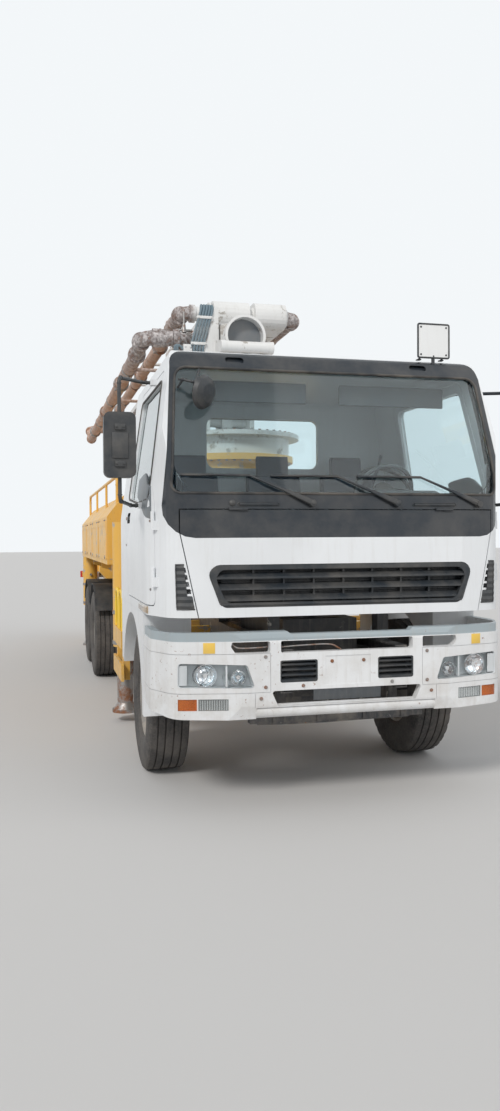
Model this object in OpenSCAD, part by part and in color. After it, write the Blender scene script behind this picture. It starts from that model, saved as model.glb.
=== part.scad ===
// Concrete pump truck: a three-axle forward-control truck with a folding placing boom.
// Millimetres, +Z up, the front faces -Y, +X is the driver's side.
// Origin: on the ground, at the middle of the length and width.
// Lengthwise places are written from the bumper's front face, and stand() shifts them to the origin.

/* [Overall] */
// Length from the bumper to the hopper's lip
overall_l = 10800; // [10400:50:11600]
// Width of the bodywork
body_w = 2470; // [2400:10:2500]

/* [Wheels] */
// Radius of the tyres
tyre_r = 540; // [510:5:560]
// Width of a tyre
tyre_w = 310; // [280:5:320]
// Radius of the rim under the tyre
rim_r = 286; // [270:1:300]
// Distance of the front axle from the bumper
front_axle_y = 1380; // [1340:10:1420]
// Distance of the first rear axle from the hopper's lip
rear_axle_inset = 4720; // [4500:10:4900]
// Distance between the two rear axles
bogie_gap = 1350; // [1300:10:1450]
// Distance from the centre line to a front wheel's middle
front_track = 1020; // [1010:5:1030]
// Distance from the centre line to the middle of a twin wheel
rear_track = 915; // [905:5:920]
// Distance between the two tyres of a twin wheel
twin_gap = 340; // [320:5:345]
// Distance from the centre line to a steering pivot
kingpin_x = 845; // [840:1:850]
// Running clearance round spindles and steering pivots
fit_gap = 0.05; // [0.02:0.01:0.1]

/* [Frame] */
// Height of the frame's top
frame_top = 1040; // [1000:10:1060]
// Height of a frame rail
rail_h = 280; // [240:10:300]
// Width of a frame rail
rail_w = 80; // [70:5:90]
// Width across both frame rails
frame_w = 860; // [840:10:880]
// Thickness of a frame rail's steel
rail_t = 9; // [7:1:12]

/* [Cab] */
// Distance of the cab's back wall from the bumper
cab_back = 2150; // [2100:10:2200]
// Height of the cab's lower edge
cab_bottom = 1252; // [1240:2:1270]
// Height of the roof
cab_top = 2995; // [2960:5:3010]
// Half width of the cab at the roof
roof_half = 1050; // [1020:5:1080]
// Height of the windscreen's lower edge
screen_low = 2030; // [2000:5:2060]
// Height of the windscreen's upper edge
screen_high = 2845; // [2790:5:2860]
// Height of the front lid's upper edge
lid_top = 1930; // [1920:5:1940]
// Gap round the front lid
lid_gap = 7; // [5:1:9]
// Height of the dark panel's lower edge
panel_low = 1748; // [1735:1:1760]
// Thickness of the cab's walls
cab_wall = 45; // [35:1:55]
// Distance of a door's front edge from the bumper
door_front = 300; // [290:5:330]
// Distance of a door's back edge from the bumper
door_back = 1700; // [1650:5:1750]
// Gap round a door
door_gap = 7; // [6:1:10]
// Thickness of the window glass
glass_t = 6; // [5:1:8]

/* [Bumper] */
// Height of the bumper's lower edge
bumper_low = 617; // [600:2:640]
// Height of the bumper's upper edge
bumper_high = 1160; // [1140:2:1180]
// Thickness of the bumper's skin
bumper_t = 60; // [50:2:70]

/* [Turret] */
// Distance of the slewing axis from the bumper
slew_y = 3300; // [3280:5:3340]
// Height of the slewing ring's lower face
ring_low = 2550; // [2520:5:2580]
// Height of the slewing ring's upper face
ring_high = 2760; // [2740:5:2780]
// Radius of the slewing ring's bolt flange
ring_r = 660; // [640:5:680]

/* [Boom] */
// Sideways place of the first and second sections
boom_x = -150; // [-170:5:-130]
// Width of the first section
boom1_w = 360; // [340:5:380]
// Width of the second section
boom2_w = 340; // [320:5:360]
// Width of the third section
boom3_w = 300; // [260:5:320]
// Free space between the folded sections, side by side
boom_side_gap = 40; // [30:5:60]
// Height of the first section's underside
boom_low = 3300; // [3295:5:3310]
// Depth of the first section
boom1_d = 340; // [320:5:350]
// Depth of the second section
boom2_d = 270; // [250:5:280]
// Depth of the third section
boom3_d = 230; // [200:5:240]
// Free space between the folded sections, one over another
boom_stack_gap = 60; // [50:5:80]
// Distance of the boom's foot pivot from the bumper
foot_y = 2450; // [2440:5:2480]
// Height of the boom's foot pivot
foot_z = 3520; // [3500:5:3530]
// Distance of the rear knuckle from the hopper's lip
knuckle2_inset = 650; // [550:10:800]
// Distance of the front knuckle from the bumper
knuckle3_y = 2750; // [2740:5:2800]
// Distance of the third section's end from the hopper's lip
boom3_inset = 900; // [800:10:1100]
// Radius of the delivery pipe
pipe_r = 66; // [60:1:70]
// Sideways place of the first section's pipe
outer_pipe_x = -1000; // [-1020:5:-960]
// Radius of the boom's pivot pins
pin_r = 60; // [50:1:65]
// Radius of the hollow shaft in the front knuckle
shaft_r = 85; // [80:1:90]
// Thickness of the boom's cheeks and levers
plate_t = 18; // [14:1:20]
// Sideways place of the second section's pipe
inner_pipe_x = -620; // [-630:5:-610]

/* [Outriggers] */
// Distance of the rear pair of outriggers from the hopper's lip
rear_leg_inset = 2040; // [2000:5:2060]
// Distance of each outrigger beam from its pair's middle
beam_side = 150; // [145:1:160]
// Height of an outrigger beam's middle
beam_z = 1650; // [1620:5:1680]
// Width of an outrigger beam
beam_w = 240; // [220:5:250]
// Depth of an outrigger beam
beam_d = 300; // [280:5:310]
// Clearance of a beam in its housing
slide_gap = 6; // [5:1:8]
// Radius of an outrigger's leg tube
leg_r = 75; // [65:1:85]
// Distance from the centre line to a leg
leg_x = 1110; // [1090:5:1120]
// Height of a raised foot over the ground
foot_lift = 90; // [60:5:120]

/* [Hopper] */
// Length of the hopper at its rim
hopper_l = 1350; // [1250:10:1400]
// Height of the hopper's rim
hopper_top = 1500; // [1450:10:1550]
// Half width of the hopper at its rim
hopper_half = 900; // [850:10:950]
// Thickness of the hopper's walls
hopper_t = 12; // [10:1:16]

/* [Hidden] */

$fn = 48;
white = "#e9eaec";
yellow = "#e0a526";
dark = "#2b2e33";
steel = "#8d8f90";
rubber = "#232323";
glassy = "#9fb4bb";

side_half = body_w / 2;
rear_axle_y = overall_l - rear_axle_inset;
knuckle2_y = overall_l - knuckle2_inset;
boom3_end = overall_l - boom3_inset;
rear_leg_y = overall_l - rear_leg_inset;
hopper_front = overall_l - hopper_l;
seat_gap = 0.3;
frame_low = frame_top - rail_h;
rail_x = frame_w / 2 - rail_w / 2;
boom3_x = boom_x + boom1_w / 2 + boom_side_gap + boom3_w / 2;
boom1_top = boom_low + boom1_d;
boom2_low = boom1_top + boom_stack_gap;
knuckle2_z = boom1_top + boom_stack_gap / 2;
boom3_z = boom2_low + 15 + boom3_d / 2;
last_axle_y = rear_axle_y + bogie_gap;

// Shared shapes

function unit(v) = v / norm(v);

// The points of a fillet of radius r at corner q, between its neighbours p and s
function fillet(p, q, s, r, n) =
  r == 0 ? [q] :
  let (
    u = unit(p - q),
    v = unit(s - q),
    half = acos(u * v) / 2,
    c = q + unit(u + v) * r / sin(half),
    a = q + u * r / tan(half) - c,
    b = q + v * r / tan(half) - c,
    start = atan2(a.y, a.x),
    turn = (atan2(b.y, b.x) - start + 540) % 360 - 180
  )
  [for (i = [0:n]) c + r * [cos(start + turn * i / n), sin(start + turn * i / n)]];

// An outline whose corners are [x, y, radius]
function outline(corners, n = 5) =
  let (m = len(corners), p = [for (c = corners) [c.x, c.y]])
  [for (i = [0:m - 1]) each fillet(p[(i + m - 1) % m], p[i], p[(i + 1) % m], corners[i].z, n)];

// Shifts what is placed from the bumper to the origin
module stand() translate([0, -overall_l / 2, 0]) children();

// A flat outline in length and height, given a width along X
module across(x0, x1) translate([x0, 0, 0]) rotate([90, 0, 90]) linear_extrude(x1 - x0) children();

// A flat outline in width and height, given a length along Y
module along(y0, y1) translate([0, y1, 0]) rotate([90, 0, 0]) linear_extrude(y1 - y0) children();

module box(low, high) translate(low) cube(high - low);

// A round bar along X
module bar_x(x0, x1, y, z, r) translate([x0, y, z]) rotate([0, 90, 0]) cylinder(r = r, h = x1 - x0);

// A round bar along Y
module bar_y(y0, y1, x, z, r) translate([x, y0, z]) rotate([-90, 0, 0]) cylinder(r = r, h = y1 - y0);

// A round bar along Z
module bar_z(z0, z1, x, y, r) translate([x, y, z0]) cylinder(r = r, h = z1 - z0);

// A round bar between two points
module bar(a, b, r) {
  d = b - a;
  translate(a) rotate([0, acos(d.z / norm(d)), atan2(d.y, d.x)]) cylinder(r = r, h = norm(d));
}

// The turn of a pipe through the points p at the point i
function pipe_turn(p, i) = acos(unit(p[i] - p[i - 1]) * unit(p[i + 1] - p[i]));

// How far before and behind a corner its bend reaches: a slight corner has none
function bend_reach(p, i, bend) =
  i == 0 || i == len(p) - 1 || pipe_turn(p, i) < 35 ? 0 : bend * tan(pipe_turn(p, i) / 2);

// How far a straight run stops short of a bend, inside the coupling that joins them
function run_gap(p, i, ring) = i == 0 || i == len(p) - 1 ? 0 : ring / 4;

// A pipe of radius r through the points p: its corners are bends of the radius bend,
// joined by couplings that stand out by ring
module pipe(p, r, bend, ring) {
  for (i = [0:len(p) - 2]) {
    u = unit(p[i + 1] - p[i]);
    bar(p[i] + u * (bend_reach(p, i, bend) + run_gap(p, i, ring)),
      p[i + 1] - u * (bend_reach(p, i + 1, bend) + run_gap(p, i + 1, ring)), r);
  }
  for (i = [1:len(p) - 2]) {
    u = unit(p[i] - p[i - 1]);
    v = unit(p[i + 1] - p[i]);
    reach = bend_reach(p, i, bend);
    if (reach == 0) {
      bar(p[i] - u * 1.5 * ring, p[i] + u * 1.5 * ring, r + ring);
    } else {
      n = unit(v - (v * u) * u);
      c = p[i] - u * reach + n * bend;
      w = cross(-n, u);
      multmatrix([
        [-n.x, u.x, w.x, c.x],
        [-n.y, u.y, w.y, c.y],
        [-n.z, u.z, w.z, c.z],
        [0, 0, 0, 1]
      ]) rotate_extrude(angle = acos(u * v)) translate([bend, 0]) circle(r = r);
      bar(p[i] - u * (reach + 1.5 * ring), p[i] - u * (reach - 1.5 * ring), r + ring);
      bar(p[i] + v * (reach - 1.5 * ring), p[i] + v * (reach + 1.5 * ring), r + ring);
    }
  }
}

// A flat lever in the plane of length and height, round at both ends: from a to b, as [y, z]
module lever(x0, x1, a, b, ra, rb) {
  d = unit(b - a);
  n = [-d.y, d.x];
  bar_x(x0, x1, a.x, a.y, ra);
  bar_x(x0, x1, b.x, b.y, rb);
  across(x0, x1) polygon([a + n * ra, b + n * rb, b - n * rb, a - n * ra]);
}

// Chassis

cross_members = [380, cab_back + 200, slew_y + 550, rear_axle_y - 830, rear_axle_y + bogie_gap / 2,
  rear_leg_y - 660, hopper_front - 70];

module rail() {
  along(bumper_t, hopper_front) polygon([
    [rail_x - rail_w / 2, frame_low], [rail_x + rail_w / 2, frame_low],
    [rail_x + rail_w / 2, frame_top], [rail_x - rail_w / 2, frame_top],
    [rail_x - rail_w / 2, frame_top - rail_t], [rail_x + rail_w / 2 - rail_t, frame_top - rail_t],
    [rail_x + rail_w / 2 - rail_t, frame_low + rail_t], [rail_x - rail_w / 2, frame_low + rail_t]
  ]);
}

module chassis_frame() {
  color(dark) stand() {
    for (side = [0, 1]) mirror([side, 0, 0]) rail();
    half = frame_w / 2 - rail_t;
    for (y = cross_members) box([-half, y - 40, frame_low + rail_t], [half, y + 40, frame_low + 90]);
    for (x = [-rail_x, rail_x]) for (y = [420, cab_back - 120])
      box([x - rail_w / 2, y - 50, frame_top], [x + rail_w / 2, y + 50, cab_bottom]);
    box([-600, 190, bumper_low - 70], [600, 260, bumper_low]);
    for (x = [-rail_x, rail_x]) box([x - 30, 200, bumper_low - 60], [x + 30, 250, frame_low + 20]);
  }
}

// Cab

// Outlines of the cab: from the side, from the front and from above
function cab_side(t) = outline([
  [40 + t, cab_bottom + t, 0], [48 + t, panel_low - 8, 0], [80 + t, screen_low, 0],
  [318 + t, screen_high, 0], [400 + t, cab_top - 20 - t, 90], [900, cab_top - t, 600],
  [cab_back - t, cab_top - 30 - t, 60], [cab_back - t, cab_bottom + t, 0]
]);

function cab_front(t) = outline([
  [side_half - t, cab_bottom + t, 0], [side_half - t, 1900, 400], [roof_half + 20 - t, cab_top - t, 70],
  [-roof_half - 20 + t, cab_top - t, 70], [-side_half + t, 1900, 400], [-side_half + t, cab_bottom + t, 0]
]);

function cab_plan(t) = outline([
  [-600, t, 0], [600, t, 0], [side_half - 115 - t, 110 + t, 170], [side_half - t, 420, 300],
  [side_half - t, cab_back - t, 40], [-side_half + t, cab_back - t, 40],
  [-side_half + t, 420, 300], [-side_half + 115 + t, 110 + t, 170]
]);

// The cab's solid form, with its surface moved inward by t
module cab_form(t) {
  intersection() {
    across(-side_half, side_half) polygon(cab_side(t));
    along(-100, cab_back + 100) polygon(cab_front(t));
    translate([0, 0, cab_bottom - 100]) linear_extrude(cab_top) polygon(cab_plan(t));
  }
}

module cab_walls() {
  difference() {
    cab_form(0);
    cab_form(cab_wall);
  }
}

// A door's outline, its edges moved inward by g
function door_outline(g) = outline([
  [door_front + g, cab_bottom + 60 + g, 40], [door_front + g, screen_low - 70, 60],
  [door_front + 200 + g, cab_top - 135 - g, 60], [door_back - g, cab_top - 115 - g, 60],
  [door_back - g, 1560, 60], [door_back - 160 - g, cab_bottom + 60 + g, 60]
]);

// A door window's outline, its edges moved inward by g
function door_window(g) = outline([
  [door_front + 75 + g, screen_low - 20 + g, 50], [door_front + 245 + g, cab_top - 205 - g, 60],
  [door_back - 70 - g, cab_top - 195 - g, 60], [door_back - 70 - g, screen_low + 30 + g, 60],
  [door_front + 700 + g, screen_low - 20 + g, 200]
]);

function screen_outline(g) = outline([
  [-side_half + 130 + g, screen_low + g, 60], [side_half - 130 - g, screen_low + g, 60],
  [roof_half - 5 - g, screen_high - g, 80], [-roof_half + 5 + g, screen_high - g, 80]
]);

// The dark surround of the windscreen, down to the panel's rounded lower corners
function surround_outline(g) = outline([
  [-side_half + 60 + g, panel_low + g, 190], [side_half - 60 - g, panel_low + g, 190],
  [roof_half + 28 - g, cab_top - 28 - g, 90], [-roof_half - 28 + g, cab_top - 28 - g, 90]
]);

module surround_form(g) {
  intersection() {
    along(-20, 480) polygon(surround_outline(g));
    across(-side_half, side_half) polygon([
      [-20, panel_low - 60], [door_front - 10, panel_low - 60], [door_front - 10, screen_low - 40],
      [door_front + 30, screen_low + 470], [door_front + 100, screen_high],
      [425, cab_top - 60], [425, cab_top + 10], [-20, cab_top + 10]
    ]);
  }
}

// The front lid: its side edges run down inward below the dark panel
function lid_outline(g) = [
  [-side_half + 167 + g, lid_top - g], [side_half - 167 - g, lid_top - g],
  [side_half - 167 - g, panel_low + 42], [side_half - 283 - g, cab_bottom - 20],
  [-side_half + 283 + g, cab_bottom - 20], [-side_half + 167 + g, panel_low + 42]
];
lid_depth = 150;

function rear_window(g) = outline([
  [-500 + g, screen_low + 320 + g, 70], [500 - g, screen_low + 320 + g, 70],
  [500 - g, cab_top - 215 - g, 70], [-500 + g, cab_top - 215 - g, 70]
]);

// The opening of the main grille in the cab's front
function grille_outline(g) = outline([
  [-side_half + 425 + g, cab_bottom + 60 + g, 50], [side_half - 425 - g, cab_bottom + 60 + g, 50],
  [side_half - 330 - g, panel_low - 167 - g, 60], [-side_half + 330 + g, panel_low - 167 - g, 60]
]);

// The louvred vents at the cab's front corners, beside the lid
function vent_outline() = outline([
  [side_half - 259, cab_bottom + 59, 10], [side_half - 156, cab_bottom + 59, 10],
  [side_half - 152, panel_low - 171, 10], [side_half - 201, panel_low - 171, 10]
]);

module vent_slots() {
  difference() {
    intersection() {
      along(-10, 300) polygon(vent_outline());
      for (z = [cab_bottom + 62 : 44 : panel_low - 190]) box([side_half - 300, -10, z], [side_half, 300, z + 30]);
    }
    cab_form(cab_wall - 15);
  }
}

hinge_r = 13;
hinge_y = door_front - 5;
hinge_x = side_half - 115 + 115 * (hinge_y - 110) / 310 + 17;
hinge_z = [1500, 1860];

module cab_shell() {
  color(white) stand() {
    difference() {
      cab_walls();
      surround_form(0);
      along(-20, lid_depth) polygon(lid_outline(0));
      along(cab_back - 100, cab_back + 10) polygon(rear_window(0));
      for (side = [0, 1]) mirror([side, 0, 0]) {
        across(600, side_half + 10) polygon(door_outline(0));
        vent_slots();
      }
    }
    for (side = [0, 1]) mirror([side, 0, 0]) for (z = hinge_z) {
      bar_z(z - 60, z, hinge_x, hinge_y, hinge_r);
      box([hinge_x - 40, hinge_y - 30, z - 60], [hinge_x, hinge_y, z]);
    }
  }
}

// How far the cab's face stands back at a height under the windscreen
function face_y(z) = 48 + 32 * (z - panel_low + 8) / (screen_low - panel_low + 8);

lid_hinge_r = 8;
lid_hinge_y = face_y(lid_top) - lid_hinge_r - 3;
lid_hinge_z = lid_top - lid_gap / 2;
lid_hinge_x = [-700, 700];

module screen_surround() {
  color(dark) stand() {
    difference() {
      intersection() {
        cab_walls();
        surround_form(seat_gap / 2);
      }
      along(-20, 480) polygon(screen_outline(0));
      along(-20, lid_depth) polygon(lid_outline(0));
      for (x = [-650, 650]) difference() {
        along(300, 480) polygon(outline([
          [x - 62, screen_high + 48, 20], [x + 62, screen_high + 48, 20],
          [x + 62, screen_high + 90, 20], [x - 62, screen_high + 90, 20]
        ]));
        cab_form(16);
      }
    }
    for (x = lid_hinge_x) {
      bar_x(x - 60, x, lid_hinge_y, lid_hinge_z, lid_hinge_r);
      box([x - 60, lid_hinge_y, lid_top + 1], [x, lid_hinge_y + 25, lid_top + 9]);
    }
  }
}

module lid_form() {
  intersection() {
    cab_walls();
    along(-20, lid_depth - lid_gap) polygon(lid_outline(lid_gap));
  }
}

module front_lid() {
  color(white) stand() difference() {
    lid_form();
    along(-30, 200) polygon(surround_outline(-seat_gap / 2));
    along(-30, 120) polygon(grille_outline(0));
  }
}

module lid_panel() {
  color(dark) stand() {
    intersection() {
      lid_form();
      along(-30, 200) polygon(surround_outline(seat_gap / 2));
    }
    for (x = lid_hinge_x) {
      bar_x(x + seat_gap, x + 60, lid_hinge_y, lid_hinge_z, lid_hinge_r);
      box([x + seat_gap, lid_hinge_y, lid_top - lid_gap - 9], [x + 60, lid_hinge_y + 25, lid_top - lid_gap - 1]);
    }
  }
}

module grille() {
  low = cab_bottom + 60;
  high = panel_low - 167;
  pitch = (high - low - 60) / 3;
  color(dark) stand() {
    difference() {
      along(50, 92) polygon(grille_outline(seat_gap));
      along(40, 100) polygon(grille_outline(30));
    }
    intersection() {
      along(40, 120) polygon(grille_outline(4));
      union() {
        for (i = [0:2]) across(-side_half, side_half) polygon([
          [54, low + 40 + i * pitch], [54, low + 52 + i * pitch], [88, low + 78 + i * pitch],
          [100, low + 78 + i * pitch], [100, low + 66 + i * pitch]
        ]);
        for (x = [-600:200:600]) box([x - 6, 84, low], [x + 6, 108, high]);
      }
    }
  }
}

module cab_glass() {
  color(glassy, 0.35) stand() {
    intersection() {
      difference() {
        cab_form(12);
        cab_form(12 + glass_t);
      }
      union() {
        along(-10, 460) polygon(screen_outline(seat_gap));
        along(cab_back - 100, cab_back + 10) polygon(rear_window(seat_gap));
      }
    }
  }
}

// A door cut from the cab's wall, with its window cut
module door(side) {
  handle = [door_back - 310, screen_low - 165];
  stand() mirror([side, 0, 0]) {
    difference() {
      intersection() {
        cab_form(0);
        across(700, side_half + 10) polygon(door_outline(door_gap));
      }
      cab_form(cab_wall);
      across(700, side_half + 10) polygon(door_window(0));
      difference() {
        across(700, side_half + 10) polygon(outline([
          [handle.x, handle.y, 25], [handle.x + 200, handle.y, 25],
          [handle.x + 200, handle.y + 80, 25], [handle.x, handle.y + 80, 25]
        ]));
        cab_form(26);
      }
    }
    box([side_half - 24, handle.x - 10, handle.y + 30], [side_half - 10, handle.x + 210, handle.y + 54]);
    for (z = hinge_z) {
      bar_z(z + seat_gap, z + 60, hinge_x, hinge_y, hinge_r);
      box([hinge_x - 30, hinge_y + hinge_r, z + seat_gap], [hinge_x + 4, hinge_y + 60, z + 60]);
      box([hinge_x - 8, hinge_y, z + seat_gap], [hinge_x, hinge_y + 20, z + 60]);
    }
    box([roof_half + 10, 780, cab_top - 190], [roof_half + 100, 820, cab_top - 150]);
    box([side_half - 40, 680, screen_low - 78], [side_half + 15 - seat_gap, 720, screen_low - 38]);
  }
}

module door_left() { color(white) door(0); }
module door_right() { color(white) door(1); }

module door_glass(side) {
  stand() mirror([side, 0, 0]) intersection() {
    difference() {
      cab_form(15);
      cab_form(15 + glass_t);
    }
    across(700, side_half + 10) polygon(door_window(seat_gap));
  }
}

module door_glass_left() { color(glassy, 0.35) door_glass(0); }
module door_glass_right() { color(glassy, 0.35) door_glass(1); }

// Seats by place across the cab
seat_places = [-700, 0, 650];

module cab_interior() {
  color(dark) stand() {
    floor_z = cab_bottom + cab_wall;
    intersection() {
      cab_form(cab_wall + 8);
      union() {
        across(-side_half + 60, side_half - 60) polygon([[130, floor_z], [cab_back - cab_wall - 10, floor_z],
          [cab_back - cab_wall - 10, 1560], [1150, 1560], [1100, 1400], [130, 1400]]);
        across(-side_half + 60, side_half - 60) polygon(outline([
          [180, 1400, 0], [520, 1400, 0], [640, 1800, 60], [560, 2000, 60], [230, 1960, 30]
        ]));
      }
    }
    for (x = [-600, 480]) for (y = [330, cab_back - 200])
      box([x, y, floor_z + seat_gap], [x + 120, y + 90, floor_z + 80]);
    for (x = seat_places) {
      box([x - 230, 1150, 1560], [x + 230, 1640, 1700]);
      across(x - 220, x + 220) polygon(outline([[1600, 1690, 0], [1740, 1690, 0], [1860, 2260, 40], [1760, 2270, 40]]));
      across(x - 130, x + 130) polygon(outline([[1775, 2255, 0], [1850, 2255, 0], [1870, 2430, 35], [1790, 2430, 35]]));
    }
    translate([580, 800, 2080]) rotate([-60, 0, 0]) rotate_extrude() translate([215, 0]) circle(r = 15);
    bar([580, 560, 1940], [580, 800, 2080], 30);
    translate([580, 800, 2080]) rotate([-60, 0, 0]) cube([420, 60, 14], center = true);
  }
}

// A point over the windscreen and one over the strip below it: across, height, distance out
screen_tilt = atan2(238, screen_high - screen_low);
function on_screen(x, z, n) =
  [x, 92 + (z - screen_low) * tan(screen_tilt) - n * cos(screen_tilt), z + n * sin(screen_tilt)];
function on_cowl(x, z, n) = [x, face_y(z) - n, z];

// The wipers' pivots across the cab
wiper_places = [-216, 367, 950];

// The roof sign and the wipers
module cab_fittings() {
  pivot_z = screen_low - 66;
  blade_z = screen_low + 110;
  color(dark) stand() {
    box([670, 392, cab_top + 5], [900, 408, cab_top + 235]);
    difference() {
      bar_z(cab_top - 200, cab_top + 20, 785, 400, 12);
      cab_form(-seat_gap);
    }
    for (x = wiper_places) {
      difference() {
        bar(on_cowl(x, pivot_z, -30), on_cowl(x, pivot_z, 40), 19);
        cab_form(-seat_gap);
      }
      bar(on_cowl(x, pivot_z, 30), on_screen(x - 405, blade_z, 16), 7);
      translate(on_screen(x - 840, blade_z - 6, 0.4)) rotate([90 - screen_tilt, 0, 0]) cube([445, 12, 16]);
    }
  }
}

// The round mirror that looks down in front of the cab
module mirrors() {
  color(dark) stand() {
    difference() {
      union() {
        bar([-836, 468.7, 2954], [-940, 190, 2730], 8);
        bar([-1126.4, 467, 2550.8], [-1016, 230, 2750], 8);
        bar([-1016, 230, 2750], [-925, 190, 2725], 8.5);
      }
      cab_form(-seat_gap);
    }
    translate([-885, 150, 2660]) rotate([0, 0, 42]) rotate([-78, 0, 0]) rotate_extrude() polygon([
      [0, -34], [60, -26], [95, -6], [108, 20], [100, 24], [0, 12]
    ]);
    bar([-932, 190, 2728], [-885, 158, 2668], 8.2);
  }
}

module side_mirror(side) {
  x = side_half + 175;
  stand() mirror([side, 0, 0]) {
    pipe([[roof_half + 100, 800, cab_top - 170], [roof_half + 150, 800, cab_top - 170], [x, 292, cab_top - 235],
      [x, 292, screen_low - 45], [side_half + 60, 700, screen_low - 58], [side_half + 15, 700, screen_low - 58]],
      12, 40, 3);
    difference() {
      along(255, 330) polygon(outline([
        [x - 100, screen_low + 100, 40], [x + 100, screen_low + 100, 40],
        [x + 100, screen_low + 510, 40], [x - 100, screen_low + 510, 40]
      ]));
      along(322, 340) polygon(outline([
        [x - 88, screen_low + 112, 30], [x + 88, screen_low + 112, 30],
        [x + 88, screen_low + 498, 30], [x - 88, screen_low + 498, 30]
      ]));
    }
  }
}

module mirror_left() { color(dark) side_mirror(0); }
module mirror_right() { color(dark) side_mirror(1); }

// Low front

module bumper_form(t) {
  intersection() {
    translate([0, 0, bumper_low]) linear_extrude(bumper_high - bumper_low) polygon(outline([
      [-700, t, 0], [700, t, 0], [side_half - 120 - t, 90 + t, 150], [side_half - 7 - t, 330, 200],
      [side_half - 7 - t, 640, 0], [-side_half + 7 + t, 640, 0], [-side_half + 7 + t, 330, 200],
      [-side_half + 120 + t, 90 + t, 150]
    ]));
    across(-side_half, side_half) polygon(outline([
      [18, bumper_low, 0], [640, bumper_low + 60, 0], [640, bumper_high, 0], [20, bumper_high, 20], [0, 1090, 20], [0, 700, 40]
    ]));
  }
}

strip_low = bumper_high - 55;
crease_high = strip_low - 78;
crease_low = bumper_low + 166;

// The bumper's openings, on one side and in the middle
function side_slot() = outline([
  [514, crease_high + 4, 12], [735, crease_high + 4, 22], [763, crease_high + 45, 12], [755, strip_low - 4, 10],
  [514, strip_low - 4, 12]
]);
function mid_slot() = outline([
  [-445, crease_high, 12], [445, crease_high, 12], [445, strip_low - 4, 12], [-445, strip_low - 4, 12]
]);
function low_slot() = outline([
  [-465, bumper_low + 77, 15], [465, bumper_low + 77, 15], [508, crease_low + 6, 15], [-508, crease_low + 6, 15]
]);
function louvre_outline(g) = outline([
  [203 + g, crease_low + 55 + g, 14], [450 - g, crease_low + 55 + g, 14],
  [450 - g, crease_low + 195 - g, 14], [203 + g, crease_low + 195 - g, 14]
]);
function lamp_outline(g) = outline([
  [612 + g, crease_low + 30 + g, 15], [1087 - g, crease_low + 38 + g, 20],
  [1086 - g, crease_low + 190 - g, 20], [663 + g, crease_low + 175 - g, 20]
]);
// The low lamps, the outer one first: [x0, x1]
low_lamps = [[970, 1085], [778, 962]];

module bumper_inside() {
  difference() {
    translate([0, bumper_t, 0]) bumper_form(0);
    for (side = [0, 1]) mirror([side, 0, 0])
      box([side_half - bumper_t - 7, 0, 0], [side_half, 700, bumper_high]);
  }
}

module bumper() {
  tube_z = bumper_low + 42;
  color(white) stand() {
    difference() {
      bumper_form(0);
      bumper_inside();
      along(-10, bumper_t + 80) polygon(mid_slot());
      along(-10, bumper_t + 80) polygon(low_slot());
      box([-604, -10, bumper_low - 10], [604, 200, bumper_low + 70]);
      along(-10, 700) polygon([
        [-400, bumper_high + 1], [-375, bumper_high - 18], [430, bumper_high - 18], [455, bumper_high + 1]
      ]);
      difference() {
        box([-side_half, -10, strip_low], [side_half, 660, bumper_high + 1]);
        bumper_form(9);
      }
      difference() {
        box([-152, -10, crease_low + 30], [152, 30, crease_low + 214]);
        bumper_form(5);
      }
      for (side = [0, 1]) mirror([side, 0, 0]) {
        along(-10, 300) polygon(side_slot());
        along(-10, 300) polygon(louvre_outline(0));
        along(-10, 300) polygon(lamp_outline(0));
        for (lamp = low_lamps) box([lamp.x, -10, bumper_low + 60], [lamp.y, 300, bumper_low + 132]);
        difference() {
          union() {
            for (z = [crease_low, crease_high]) box([513, -10, z - 2], [side_half, 660, z + 2]);
            box([511, -10, crease_low], [515, 60, crease_high]);
            box([610, -10, bumper_low - 1], [614, 60, crease_low]);
          }
          bumper_form(5);
        }
      }
    }
    bar_x(-610, 610, 50, tube_z, 42);
  }
}

// The louvres in the bumper's two vents
module bumper_vents() {
  pitch = 33;
  color(dark) stand() {
    for (side = [0, 1]) mirror([side, 0, 0]) {
      difference() {
        along(6, 54) polygon(louvre_outline(seat_gap));
        along(-1, 60) polygon(louvre_outline(9));
      }
      for (i = [0:3]) across(208, 445) polygon([
        [8, crease_low + 63 + i * pitch], [8, crease_low + 72 + i * pitch],
        [50, crease_low + 84 + i * pitch], [50, crease_low + 75 + i * pitch]
      ]);
    }
  }
}

// The lamps' bowls: [x, height over the lower crease, radius]
lamp_bowls = [[940, 112, 60], [712, 98, 44]];

module lamps() {
  color(glassy) stand() {
    for (side = [0, 1]) mirror([side, 0, 0]) {
      difference() {
        intersection() {
          difference() {
            translate([0, 14, 0]) bumper_form(0);
            translate([0, 92, 0]) bumper_form(0);
          }
          along(-10, 300) polygon(lamp_outline(seat_gap));
        }
        for (b = lamp_bowls) translate([b.x, (b.x - 700) * 0.217, crease_low + b.y]) rotate([-90, 0, 0])
          rotate_extrude() polygon([[0, -40], [b.z, -40], [b.z, 16], [b.z * 0.75, 48], [b.z * 0.3, 66], [0, 66]]);
      }
      for (lamp = low_lamps) intersection() {
        difference() {
          translate([0, 8, 0]) bumper_form(0);
          translate([0, 50, 0]) bumper_form(0);
        }
        box([lamp.x + seat_gap, -10, bumper_low + 60 + seat_gap], [lamp.y - seat_gap, 300, bumper_low + 132 - seat_gap]);
      }
      box([hopper_half + 50, shaft_y + 140.3, 1090], [hopper_half + 290, shaft_y + 200, 1200]);
    }
  }
}

arch_r = 650;

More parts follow.
